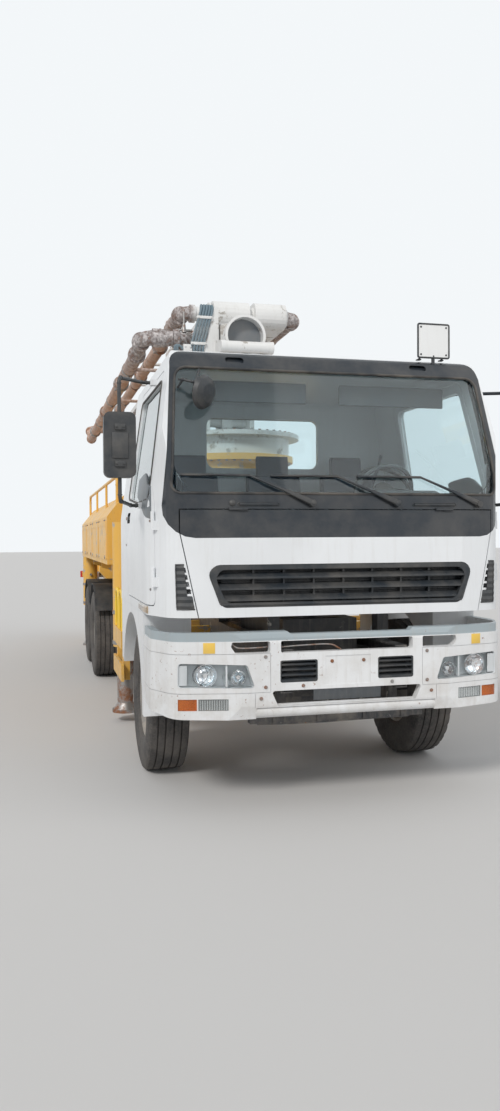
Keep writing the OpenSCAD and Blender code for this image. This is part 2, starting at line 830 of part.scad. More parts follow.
module front_fenders() {
  color(white) stand() {
    for (side = [0, 1]) mirror([side, 0, 0]) difference() {
      across(900, side_half - 5) polygon(outline([
        [650, 460, 40], [1380, 460, 0], [2060, 760, 0], [cab_back - 30, 760, 0],
        [cab_back - 30, cab_bottom, 0], [650, cab_bottom, 0]
      ]));
      bar_x(890, side_half, front_axle_y, tyre_r, arch_r);
      box([890, 600, 300], [side_half, front_axle_y + 300, tyre_r]);
    }
  }
}

// Front running gear

module engine() {
  half = frame_w / 2 - rail_t;
  color(dark) stand() {
    box([-270, 560, 640], [270, 1850, 1180]);
    for (y = [800, 1600]) box([-half, y - 60, 880], [half, y + 60, 960]);
  }
}

module front_axle() {
  color(dark) stand() {
    difference() {
      union() {
        box([-760, front_axle_y - 45, 430], [760, front_axle_y + 45, 520]);
        for (side = [0, 1]) mirror([side, 0, 0]) {
          box([700, front_axle_y - 38, 475], [kingpin_x, front_axle_y + 38, 605]);
          bar_z(470, 610, kingpin_x, front_axle_y, 45);
          bar_z(424, 656, kingpin_x, front_axle_y, 25);
          across(rail_x - 38, rail_x + 38) polygon(outline([
            [front_axle_y - 780, 680, 0], [front_axle_y - 300, 600, 300], [front_axle_y - 90, 520, 0],
            [front_axle_y + 90, 520, 0], [front_axle_y + 300, 600, 300], [front_axle_y + 780, 680, 0],
            [front_axle_y + 780, 705, 0], [front_axle_y, 600, 900], [front_axle_y - 780, 705, 0]
          ]));
          for (y = [-760, 760]) box([rail_x - 38, front_axle_y + y - 20, 690], [rail_x + 38, front_axle_y + y + 20, frame_low]);
        }
      }
    }
  }
}

module knuckle(side) {
  stand() mirror([side, 0, 0]) translate([kingpin_x, front_axle_y, 0]) {
    difference() {
      union() {
        for (z = [420, 612]) {
          bar_z(z, z + 48, 0, 0, 45);
          box([0, -45, z], [60, 45, z + 48]);
        }
        box([50, -60, 420], [67, 60, 660]);
      }
      bar_z(400, 700, 0, 0, 25 + fit_gap);
    }
    bar_x(60, 235, 0, tyre_r, 45);
  }
}

module knuckle_left() { color(dark) knuckle(0); }
module knuckle_right() { color(dark) knuckle(1); }

// A tyre's section, out from the wheel's middle: [radius, offset]
function tyre_section(w) = [
  [rim_r - 4, -0.40 * w], [rim_r + 14, -0.44 * w], [rim_r + 60, -0.49 * w], [tyre_r - 120, -0.5 * w],
  [tyre_r - 40, -0.47 * w], [tyre_r - 8, -0.42 * w], [tyre_r, -0.36 * w], [tyre_r, 0.36 * w],
  [tyre_r - 8, 0.42 * w], [tyre_r - 40, 0.47 * w], [tyre_r - 120, 0.5 * w], [rim_r + 60, 0.49 * w],
  [rim_r + 14, 0.44 * w], [rim_r - 4, 0.40 * w]
];

module turned(section) rotate([0, 90, 0]) rotate_extrude() polygon(section);

module front_wheel(side) {
  hub_bore = 45 + fit_gap;
  stand() mirror([side, 0, 0]) translate([front_track, front_axle_y, tyre_r]) {
    turned(tyre_section(tyre_w));
    turned([
      [rim_r - 26, -120], [rim_r - 2, -128], [rim_r - 2, 128], [rim_r - 26, 120], [rim_r - 30, 76],
      [175, 112], [105, 112], [105, 150], [0, 150], [0, 64], [hub_bore, 64], [hub_bore, -98],
      [205, -98], [205, 20], [160, 92], [rim_r - 44, 60], [rim_r - 26, 40]
    ]);
  }
}

module front_wheel_left() { color(rubber) front_wheel(0); }
module front_wheel_right() { color(rubber) front_wheel(1); }

// Rear running gear

spindle_r = 55;

module rear_wheel(row, side) {
  bore = spindle_r + fit_gap;
  in = rim_r - 26;
  stand() mirror([side, 0, 0]) translate([rear_track, rear_axle_y + row * bogie_gap, tyre_r]) {
    for (x = [-0.5, 0.5]) translate([x * twin_gap, 0, 0]) turned(tyre_section(tyre_w));
    turned([
      [in, -295], [rim_r - 2, -300], [rim_r - 2, 300], [in, 295], [in, 40], [in - 40, 14],
      [125, 14], [125, 130], [100, 165], [0, 165], [0, 62], [bore, 62], [bore, -290],
      [210, -290], [210, -60], [in - 40, -14], [in, -40]
    ]);
  }
}

module rear_wheel_1_left() { color(rubber) rear_wheel(0, 0); }
module rear_wheel_1_right() { color(rubber) rear_wheel(0, 1); }
module rear_wheel_2_left() { color(rubber) rear_wheel(1, 0); }
module rear_wheel_2_right() { color(rubber) rear_wheel(1, 1); }

module rear_bogie() {
  mid = rear_axle_y + bogie_gap / 2;
  tube_r = 80;
  spring_in = frame_w / 2 + 22;
  color(dark) stand() {
    for (row = [0, 1]) {
      y = rear_axle_y + row * bogie_gap;
      bar_x(-588, 588, y, tyre_r, tube_r);
      bar_x(-rear_track - 58, rear_track + 58, y, tyre_r, spindle_r);
      translate([0, y, tyre_r]) rotate([0, 90, 0]) sphere(r = 205);
      bar_y(y - 330, y, 0, tyre_r + 20, 70);
      for (side = [-1, 1]) {
        x = side * (spring_in + 45);
        box([x - 45, y - 60, tyre_r + 60], [x + 45, y + 60, tyre_r + tube_r + 20]);
      }
    }
    for (side = [0, 1]) mirror([side, 0, 0]) {
      across(spring_in, spring_in + 90) polygon(outline([
        [rear_axle_y - 80, 640, 0], [rear_axle_y - 80, 665, 0], [mid - 260, 735, 500], [mid + 260, 735, 500],
        [last_axle_y + 80, 665, 0], [last_axle_y + 80, 640, 0], [mid + 120, 580, 0], [mid - 120, 580, 0]
      ]));
      box([frame_w / 2, mid - 150, 560], [spring_in + 5, mid + 150, 1000]);
    }
    bar_x(-spring_in - 100, spring_in + 100, mid, 620, 55);
  }
}

// Chassis side

mudguard_r = 640;

module mudguards() {
  color(dark) stand() {
    for (side = [0, 1]) mirror([side, 0, 0]) for (row = [0, 1]) {
      y = rear_axle_y + row * bogie_gap;
      difference() {
        bar_x(590, side_half, y, tyre_r, mudguard_r);
        bar_x(580, side_half + 10, y, tyre_r, mudguard_r - 8);
        box([580, y - 700, -200], [side_half + 10, y + 700, tyre_r + 330]);
      }
      bar_x(frame_w / 2, side_half - 20, y, tyre_r + mudguard_r - 24, 18);
    }
  }
}

module side_tanks() {
  inner = frame_w / 2;
  color(steel) stand() {
    along(slew_y + 650, rear_axle_y - tyre_r - 490) polygon(outline([
      [inner, 620, 0], [side_half - 85, 620, 90], [side_half - 85, 1180, 90], [inner, 1180, 0]
    ]));
    along(slew_y + 700, rear_axle_y - tyre_r - 840) polygon(outline([
      [-side_half + 185, 640, 20], [-inner, 640, 0], [-inner, 1100, 0], [-side_half + 185, 1100, 20]
    ]));
  }
}

// The guard planks and hand loops in front of the outriggers' legs
module side_guards() {
  back = slew_y - beam_side - leg_r - 55;
  front = back - 760;
  x = side_half - 30;
  color(yellow) stand() for (side = [0, 1]) mirror([side, 0, 0]) {
    for (z = [520, 800]) box([x, front, z], [x + 24, back, z + 150]);
    for (y = [front + 120, back - 120]) {
      box([x - 60, y - 30, 520], [x, y + 30, 950]);
      box([frame_w / 2, y - 30, frame_top - 130], [x, y + 30, frame_top - 70]);
    }
    for (y = [front + 60, front + 400])
      pipe([[x + 4, y, 940], [x + 4, y, 1290], [x + 4, y + 250, 1290], [x + 4, y + 250, 940]], 14, 100, 3);
  }
}

// Superstructure

// The place of an outrigger's beam: each pair has its right beam in front of its left one
function beam_y(front, side) = (front ? slew_y : rear_leg_y) + side * beam_side;

housing_t = 14;
housing_w = 2 * beam_side;
housing_d = beam_d + 2 * (slide_gap + housing_t);
housing_x = 960;
subframe_top = frame_top + 160;

// The tube that an outrigger's beam slides in, with the pads that carry the beam
module housing(front, side) {
  y = beam_y(front, side);
  in_w = beam_w / 2 + slide_gap;
  in_d = beam_d / 2 + slide_gap;
  mirror([side > 0 ? 0 : 1, 0, 0]) {
    difference() {
      box([-housing_x, y - housing_w / 2, beam_z - housing_d / 2],
        [housing_x, y + housing_w / 2, beam_z + housing_d / 2]);
      box([-housing_x + 40, y - in_w, beam_z - in_d], [housing_x + 10, y + in_w, beam_z + in_d]);
    }
    for (x = [-600, housing_x - 120]) {
      box([x, y - in_w, beam_z - in_d], [x + 100, y + in_w, beam_z - beam_d / 2 - seat_gap]);
    }
  }
}

module pedestal() {
  inner = frame_w / 2 - 120;
  outer = frame_w / 2;
  beam_low = beam_z - housing_d / 2;
  beam_high = beam_z + housing_d / 2;
  color(yellow) stand() {
    for (front = [true, false]) for (side = [-1, 1]) housing(front, side);
    for (side = [0, 1]) mirror([side, 0, 0]) {
      box([inner, 2380, frame_top], [outer, hopper_front, subframe_top]);
      box([inner, rear_leg_y - housing_w, subframe_top], [outer, rear_leg_y + housing_w, beam_low]);
    }
    box([-outer, slew_y - housing_w, frame_top], [outer, slew_y + housing_w, beam_low]);
    box([-560, slew_y - 560, beam_high], [560, deck_front - 10, beam_high + 60]);
    box([-480, slew_y, beam_high], [480, slew_y + 560, beam_high + 60]);
    bar_z(beam_high + 60, ring_low, 0, slew_y, 520);
    bar_z(ring_low - 60, ring_low, 0, slew_y, 600);
  }
}

module arm(front, side) {
  y = beam_y(front, side);
  jacket_r = leg_r + 35;
  stand() mirror([side > 0 ? 0 : 1, 0, 0]) difference() {
    union() {
      box([-800, y - beam_w / 2, beam_z - beam_d / 2], [leg_x, y + beam_w / 2, beam_z + beam_d / 2]);
      bar_z(720, beam_z + 260, leg_x, y, jacket_r);
    }
    bar_z(700, beam_z + 230, leg_x, y, leg_r + seat_gap);
  }
}

module arm_front_left() { color(yellow) arm(true, 1); }
module arm_front_right() { color(yellow) arm(true, -1); }
module arm_rear_left() { color(yellow) arm(false, 1); }
module arm_rear_right() { color(yellow) arm(false, -1); }

module leg(front, side) {
  y = beam_y(front, side);
  stand() mirror([side > 0 ? 0 : 1, 0, 0]) {
    bar_z(foot_lift + 60, beam_z + 200, leg_x, y, leg_r);
    bar_z(foot_lift, foot_lift + 30, leg_x, y, 125);
    translate([leg_x, y, foot_lift + 30]) cylinder(r1 = 110, r2 = leg_r, h = 60);
  }
}

module leg_front_left() { color(steel) leg(true, 1); }
module leg_front_right() { color(steel) leg(true, -1); }
module leg_rear_left() { color(steel) leg(false, 1); }
module leg_rear_right() { color(steel) leg(false, -1); }

deck_front = slew_y + housing_w + 10;
deck_rear = rear_leg_y - housing_w - 10;

module deck() {
  low = beam_z - 160;
  high = low + 485;
  inner = frame_w / 2 - 100;
  color(yellow) stand() {
    for (side = [0, 1]) mirror([side, 0, 0]) {
      difference() {
        along(deck_front, deck_rear) polygon([
          [500, low], [side_half, low], [side_half, high], [side_half - 175, high + 215], [500, high + 215]
        ]);
        along(deck_front + 25, deck_rear - 25) polygon([
          [525, low + 25], [side_half - 25, low + 25], [side_half - 25, high - 10],
          [side_half - 190, high + 190], [525, high + 190]
        ]);
      }
      for (y = [deck_front + 200, rear_axle_y - mudguard_r - 150, rear_axle_y + bogie_gap / 2, deck_rear - 200])
        along(y - 15, y + 15) polygon([
          [inner, subframe_top], [frame_w / 2, subframe_top], [side_half - 60, low - 80],
          [side_half - 60, low], [inner, low]
        ]);
      pipe([[side_half - 120, deck_front + 150, high + 130], [side_half - 120, deck_front + 150, high + 420],
        [side_half - 120, deck_rear - 150, high + 420], [side_half - 120, deck_rear - 150, high + 130]], 17, 90, 3);
      for (y = [rear_axle_y - 900, rear_axle_y + 700]) bar_z(high + 130, high + 420, side_half - 120, y, 14);
    }
    box([boom_x - 120, deck_rear - 160, low + 250], [boom_x + 120, deck_rear - 40, boom_low + 30]);
    box([-510, deck_rear - 160, low + 250], [510, deck_rear - 40, low + 350]);
  }
}

module pump_unit() {
  y = rear_axle_y + 920;
  color(steel) stand() {
    for (x = [-150, 150]) {
      bar_y(y - 1700, y, x, 1330, 65);
      bar_y(y + 400, hopper_front, x, 1330, 105);
    }
    box([-frame_w / 2 + 30, y, subframe_top], [frame_w / 2 - 30, y + 400, 1560]);
    box([-frame_w / 2 + 30, y - 1600, subframe_top], [frame_w / 2 - 30, y - 1500, 1440]);
  }
}

module delivery_line() {
  line_z = frame_top + 75;
  color(steel) stand() {
    difference() {
      pipe([[0, overall_l - 560, 880], [0, overall_l - 130, 880], [0, overall_l - 130, 600],
        [0, hopper_front - 250, 600], [0, hopper_front - 250, line_z], [0, slew_y + housing_w, line_z]], pipe_r, 110, 16);
      hopper_form(0);
    }
  }
}

module hopper_form(t) {
  hull() {
    box([-hopper_half + t, hopper_front + t, hopper_top - 300],
      [hopper_half - t, overall_l - t, hopper_top + (t > 0 ? 10 : 0)]);
    box([-420 + t, hopper_front + t, 700 + t], [420 - t, overall_l - (overall_l - hopper_front) * 0.37 - t, 760]);
  }
}

shaft_y = hopper_front + (overall_l - hopper_front) * 0.4222;
shaft_z = 1120;
agitator_r = 34;

module hopper() {
  color(yellow) stand() difference() {
    hopper_form(0);
    hopper_form(hopper_t);
    bar_x(-hopper_half - 10, hopper_half + 10, shaft_y, shaft_z, agitator_r + fit_gap);
  }
  color(yellow) stand() difference() {
    union() {
      for (side = [0, 1]) mirror([side, 0, 0]) {
        box([hopper_half - 4, hopper_front + 40, hopper_top - 60], [hopper_half + 22, overall_l - 40, hopper_top - 20]);
        for (y = [shaft_y - 250, shaft_y + 140])
          box([hopper_half - 60, y - 8, hopper_top - 300], [hopper_half + 22, y + 8, hopper_top - 40]);
        box([hopper_half - 260, shaft_y + 124, 1100], [hopper_half + 260, shaft_y + 140, 1190]);
      }
    }
    hopper_form(hopper_t);
  }
}

module agitator() {
  color(steel) stand() {
    bar_x(-hopper_half + 20, hopper_half - 20, shaft_y, shaft_z, agitator_r);
    for (x = [-420, -150, 150, 420])
      box([x - 15, shaft_y - 30, shaft_z - 190], [x + 15, shaft_y + 30, shaft_z + 190]);
  }
}

module grate() {
  z = hopper_top + seat_gap;
  y0 = hopper_front + 2;
  y1 = overall_l - 2;
  x1 = hopper_half - 4;
  color(dark) stand() {
    for (i = [-10:10]) box([i * 88 - 6, y0, z], [i * 88 + 6, y1, z + 30]);
    for (y = [y0, (y0 + y1) / 2, y1 - 20]) box([-x1, y, z], [x1, y + 20, z + 30]);
    for (x = [-x1, x1 - 12]) box([x, y0, z], [x + 12, y1, z + 30]);
    for (x = [-600, 480]) bar_x(x, x + 120, y0, z + 15.7, 14);
  }
}

// Placing boom

foot_gap = 12;
cheek_x = boom1_w / 2 + foot_gap;
tongue_w = boom2_w - 60;
drum_y = foot_y - 342;
lever_r = 260;
lever_x = boom_x - boom1_w / 2 - 25;
side_cylinder_x = boom_x - boom1_w / 2 - 85;

function turned_point(y, z, r, a) = [y + r * cos(a), z + r * sin(a)];

// Each cylinder's foot and its rod's eye when the boom is folded, as [y, z]
lift_foot = [foot_y + 500, foot_z - 670];
lift_eye = [foot_y + 2000, foot_z - 280];
knuckle2_foot = [knuckle2_y - 1850, boom_low + 120];
knuckle2_eye = turned_point(knuckle2_y, knuckle2_z, lever_r, 185);
knuckle3_foot = [knuckle3_y + 1950, boom3_z + 20];
knuckle3_eye = turned_point(knuckle3_y, boom3_z, lever_r, -25);

// A cylinder's barrel, round its bore, from its foot's eye towards its rod's eye
module barrel(x, foot, eye, r, rod, length, pin, half) {
  a = [x, foot.x, foot.y];
  b = [x, eye.x, eye.y];
  d = unit(b - a);
  stand() difference() {
    union() {
      bar(a, a + d * length, r);
      bar_x(x - half, x + half, foot.x, foot.y, r - 4);
    }
    bar(a + d * (r + 60), a + d * (length + 10), rod + fit_gap);
    bar_x(x - half - r, x + half + r, foot.x, foot.y, pin + fit_gap);
    for (i = [-1, 1]) bar_x(i > 0 ? x + half : x - half - r, i > 0 ? x + half + r : x - half, foot.x, foot.y, r + 5);
  }
}

// A cylinder's rod, with its eye
module rod(x, foot, eye, r, rod, half) {
  a = [x, foot.x, foot.y];
  b = [x, eye.x, eye.y];
  d = unit(b - a);
  stand() difference() {
    union() {
      bar(a + d * (r + 70), b, rod);
      bar_x(x - half, x + half, eye.x, eye.y, rod + 14);
    }
    bar_x(x - half - 100, x + half + 100, eye.x, eye.y, rod * 0.6);
  }
}

lift_r = 88;
lift_rod = 55;
side_r = 68;
side_rod = 36;
tip_rod = 26;

module barrel_1() { color(steel) barrel(boom_x, lift_foot, lift_eye, lift_r, lift_rod, 1330, 40, 50); }
module rod_1() { color(steel) rod(boom_x, lift_foot, lift_eye, lift_r, lift_rod, 50); }
module barrel_2() { color(steel) barrel(side_cylinder_x, knuckle2_foot, knuckle2_eye, side_r, side_rod, 1300, 30, 38); }
module rod_2() { color(steel) rod(side_cylinder_x, knuckle2_foot, knuckle2_eye, side_r, side_rod, 35); }
module barrel_3() { color(steel) barrel(side_cylinder_x, knuckle3_foot, knuckle3_eye, side_r - 8, tip_rod, 1400, 30, 38); }
module rod_3() { color(steel) rod(side_cylinder_x, knuckle3_foot, knuckle3_eye, side_r - 8, tip_rod, tip_rod); }

module turret() {
  color(white) stand() {
    bar_z(ring_low + seat_gap, ring_high - 40, 0, slew_y, 560);
    bar_z(ring_high - 40, ring_high, 0, slew_y, ring_r);
    for (x = [boom_x - cheek_x - 40, boom_x + cheek_x])
      across(x, x + 40) polygon(outline([
        [slew_y - 560, ring_high, 0], [slew_y + 560, ring_high, 0], [slew_y + 450, ring_high + 320, 100],
        [foot_y + 250, foot_z + 130, 100], [foot_y - 60, foot_z + 150, 110], [foot_y - 150, foot_z - 60, 110],
        [slew_y - 560, ring_high + 250, 200]
      ]));
    for (x = [boom_x - cheek_x - 40, boom_x + cheek_x])
      lever(x, x + 40, [foot_y - 40, foot_z - 80], [drum_y - 48, foot_z - 130], 64, 52);
    bar_x(boom_x - cheek_x - 34, boom_x + cheek_x + 34, drum_y - 48, foot_z - 130, 48);
    difference() {
      bar_y(drum_y - 8, foot_y - 235, boom_x, foot_z - 20, 180);
      bar_y(drum_y - 20, foot_y - 260, boom_x, foot_z - 20, 158);
    }
    along(foot_y - 160, foot_y - 146) polygon([
      [boom_x - cheek_x - 136, foot_z - 145], [boom_x - cheek_x - 2, foot_z - 145],
      [boom_x - cheek_x - 10, foot_z + 265], [boom_x - cheek_x - 43, foot_z + 265]
    ]);
    box([boom_x - cheek_x - 40, foot_y - 154, foot_z - 140], [boom_x - cheek_x - 2, foot_y - 40, foot_z - 60]);
    bar_x(boom_x - cheek_x - 60, boom_x + cheek_x + 50, foot_y, foot_z, pin_r);
    bar_x(boom_x - cheek_x - 5, boom_x + cheek_x + 5, lift_foot.x, lift_foot.y, 40);
    pipe([[boom_x - cheek_x - 5, slew_y + 100, 2950], [-600, slew_y + 100, 2950], [-600, foot_y + 300, 3400],
      [-600, foot_y, foot_z], [-731, foot_y, foot_z]], pipe_r, 105, 16);
  }
}

module boom_1() {
  right = boom_x - boom1_w / 2;
  left = boom_x + boom1_w / 2;
  color(white) stand() difference() {
    union() {
      across(right, left) polygon(outline([
        [foot_y - 160, foot_z - 180, 110], [foot_y + 500, boom_low, 0], [knuckle2_y - 170, boom_low + 60, 0],
        [knuckle2_y - 170, boom1_top, 0], [foot_y + 300, boom1_top, 0], [foot_y + 60, foot_z + 150, 110],
        [foot_y - 160, foot_z + 150, 130]
      ]));
      across(boom_x - tongue_w / 2, boom_x + tongue_w / 2) polygon(outline([
        [knuckle2_y - 180, boom_low + 70, 0], [knuckle2_y + 60, boom_low + 140, 60],
        [knuckle2_y + 125, knuckle2_z, 80], [knuckle2_y + 60, knuckle2_z + 120, 100],
        [knuckle2_y - 60, knuckle2_z + 120, 100], [knuckle2_y - 180, boom1_top - 10, 0]
      ]));
      for (x = [boom_x - 75, boom_x + 58])
        lever(x, x + 17, [lift_eye.x, boom_low + 70], lift_eye, 90, 58);
      bar_x(side_cylinder_x - 45, right, knuckle2_foot.x, knuckle2_foot.y, 30);
      bar_x(right - 12, right, knuckle2_foot.x, knuckle2_foot.y, 80);
      pipe([[-736, foot_y, foot_z], [outer_pipe_x, foot_y, foot_z], [outer_pipe_x, foot_y + 450, 3460],
        [outer_pipe_x, knuckle2_y - 400, 3460], [outer_pipe_x, knuckle2_y, knuckle2_z],
        [-726, knuckle2_y, knuckle2_z]], pipe_r, 110, 16);
      for (k = [0.15, 0.41, 0.67]) bar_x(outer_pipe_x, right, foot_y + k * (knuckle2_y - foot_y), 3460, 18);
    }
    bar_x(boom_x - 300, boom_x + 300, foot_y, foot_z, pin_r + fit_gap);
    bar_x(boom_x - 300, boom_x + 300, knuckle2_y, knuckle2_z, pin_r + fit_gap);
  }
}

module boom_2() {
  right = boom_x - boom2_w / 2;
  left = boom_x + boom2_w / 2;
  color(white) stand() {
    difference() {
      union() {
        across(right, left) polygon(outline([
          [knuckle3_y - 140, boom2_low, 120], [knuckle2_y - 165, boom2_low, 0],
          [knuckle2_y - 165, boom2_low + boom2_d, 60], [knuckle3_y - 140, boom2_low + boom2_d - 20, 120]
        ]));
        for (x = [right + 6, left - 6 - plate_t])
          across(x, x + plate_t) polygon(outline([
            [knuckle2_y - 700, boom2_low + 10, 0], [knuckle2_y - 180, boom2_low + 5, 60],
            [knuckle2_y - 100, knuckle2_z - 125, 90], [knuckle2_y + 125, knuckle2_z - 125, 120],
            [knuckle2_y + 125, knuckle2_z + 125, 110], [knuckle2_y - 165, boom2_low + boom2_d - 10, 60],
            [knuckle2_y - 700, boom2_low + boom2_d - 10, 0]
          ]));
      }
      bar_x(boom_x - 300, boom_x + 300, knuckle3_y, boom3_z, shaft_r + fit_gap);
    }
    bar_x(right, left, knuckle2_y, knuckle2_z, pin_r);
    bar_x(lever_x, right + 10, knuckle2_y, knuckle2_z, 100);
    lever(lever_x, lever_x + plate_t, [knuckle2_y, knuckle2_z], knuckle2_eye, 100, 50);
    bar_x(side_cylinder_x + 40, lever_x + 5, knuckle2_eye.x, knuckle2_eye.y, 38);
    bar_x(side_cylinder_x - 45, right, knuckle3_foot.x, knuckle3_foot.y, 30);
    bar_x(right - 12, right, knuckle3_foot.x, knuckle3_foot.y, 80);
    pipe([[-721, knuckle2_y, knuckle2_z], [inner_pipe_x + 20, knuckle2_y, knuckle2_z],
      [inner_pipe_x + 20, knuckle2_y - 350, boom3_z + 20], [inner_pipe_x + 20, knuckle3_y, boom3_z],
      [side_cylinder_x - tip_rod - 7, knuckle3_y, boom3_z]], pipe_r, 95, 16);
    for (k = [0.33, 0.52, 0.71])
      bar_x(inner_pipe_x, right, knuckle3_y + k * (knuckle2_y - knuckle3_y), boom3_z + 10, 18);
  }
}

module boom_3() {
  right = boom3_x - boom3_w / 2;
  left = boom3_x + boom3_w / 2;
  color(white) stand() {
    across(right, left) polygon(outline([
      [knuckle3_y - 140, boom3_z - 120, 105], [knuckle3_y + 500, boom3_z - boom3_d / 2, 0],
      [boom3_end, boom3_z - 50, 40], [boom3_end, boom3_z + boom3_d / 2, 40],
      [knuckle3_y + 300, boom3_z + boom3_d / 2, 0], [knuckle3_y - 140, boom3_z + 120, 105]
    ]));
    bar_x(lever_x + 6, right + 5, knuckle3_y, boom3_z, shaft_r);
    lever(lever_x, lever_x + plate_t, [knuckle3_y, boom3_z], knuckle3_eye, 110, 50);
    bar_x(side_cylinder_x + tip_rod + 6, lever_x + 12, knuckle3_y, boom3_z, pipe_r);
    bar_x(side_cylinder_x + tip_rod + 6, lever_x + 9, knuckle3_eye.x, knuckle3_eye.y, 36);
    pipe([[left - 5, knuckle3_y, boom3_z], [left + 110, knuckle3_y, boom3_z],
      [left + 110, boom3_end + 200, boom3_z]], pipe_r, 105, 16);
    for (k = [0.12, 0.4, 0.68, 0.96])
      bar_x(left, left + 110, knuckle3_y + k * (boom3_end - knuckle3_y), boom3_z, 18);
    bar_y(boom3_end + 105, boom3_end + 135, left + 110, boom3_z, pipe_r + 16);
    bar_y(boom3_end + 120, boom3_end + 260, left + 110, boom3_z, pipe_r + 4);
  }
}

chassis_frame();
cab_shell();
screen_surround();
front_lid();
lid_panel();
grille();
bumper();
bumper_vents();
lamps();
cab_glass();
cab_interior();
cab_fittings();
mirrors();
mirror_left();
mirror_right();
door_left();
door_right();
door_glass_left();
door_glass_right();
front_fenders();
engine();
front_axle();
knuckle_left();
knuckle_right();
front_wheel_left();
front_wheel_right();
rear_bogie();
rear_wheel_1_left();
rear_wheel_1_right();
rear_wheel_2_left();
rear_wheel_2_right();
mudguards();
side_tanks();
side_guards();
pedestal();
deck();
pump_unit();
delivery_line();
hopper();
agitator();
grate();
turret();
boom_1();
boom_2();
boom_3();
barrel_1();
rod_1();
barrel_2();
rod_2();
barrel_3();
rod_3();
arm_front_left();
arm_front_right();
arm_rear_left();
arm_rear_right();
leg_front_left();
leg_front_right();
leg_rear_left();
leg_rear_right();
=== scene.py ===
"""A concrete pump truck: the looks around its frame. Lengths are in metres.

Places are given from the front of the bumper: at(x, y, z) has x to the truck's left, y towards its
rear and z above the ground.
"""

import math
import random

import bmesh
import bpy
from mathutils import Matrix, Vector
from mathutils.bvhtree import BVHTree


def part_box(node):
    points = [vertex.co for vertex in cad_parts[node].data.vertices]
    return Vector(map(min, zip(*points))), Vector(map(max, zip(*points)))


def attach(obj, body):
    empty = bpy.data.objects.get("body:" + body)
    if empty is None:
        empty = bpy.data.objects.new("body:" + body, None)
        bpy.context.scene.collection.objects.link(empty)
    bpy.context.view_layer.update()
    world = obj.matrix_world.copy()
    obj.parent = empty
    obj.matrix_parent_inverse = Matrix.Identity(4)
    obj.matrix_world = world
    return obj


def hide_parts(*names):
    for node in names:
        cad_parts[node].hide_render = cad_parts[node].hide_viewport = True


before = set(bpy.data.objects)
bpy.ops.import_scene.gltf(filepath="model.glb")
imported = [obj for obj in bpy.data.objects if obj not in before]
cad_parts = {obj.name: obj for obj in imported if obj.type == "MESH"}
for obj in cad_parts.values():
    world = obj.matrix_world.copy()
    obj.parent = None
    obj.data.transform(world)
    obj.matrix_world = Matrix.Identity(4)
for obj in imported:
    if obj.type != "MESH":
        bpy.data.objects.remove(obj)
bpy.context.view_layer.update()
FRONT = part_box("bumper")[0].y
random.seed(11)

# Driving sizes, the same as the frame's
TYRE_R = 0.540
TYRE_W = 0.310
RIM_R = 0.286
FRONT_AXLE_Y = 1.380
REAR_AXLE_Y = (6.080, 7.430)
FRONT_TRACK = 1.020
REAR_TRACK = 0.915
TWIN_GAP = 0.340
SLEW_Y = 3.300
RING_HIGH = 2.760
BOOM_X = -0.150
SIDES = (("left", 1), ("right", -1))
# The small radius that a turned solid keeps where it closes on its axis
CORE = 0.001


def at(x, y, z):
    return Vector((x, FRONT + y, z))


def turns(count, start=0.0):
    """Evenly spaced angles round a circle; start is a share of one step."""
    return [2 * math.pi * (i + start) / count for i in range(count)]


def square(axis):
    """A direction of length 1 and two more at right angles to it."""
    axis = Vector(axis).normalized()
    side = axis.orthogonal().normalized()
    return axis, side, axis.cross(side)


# Materials


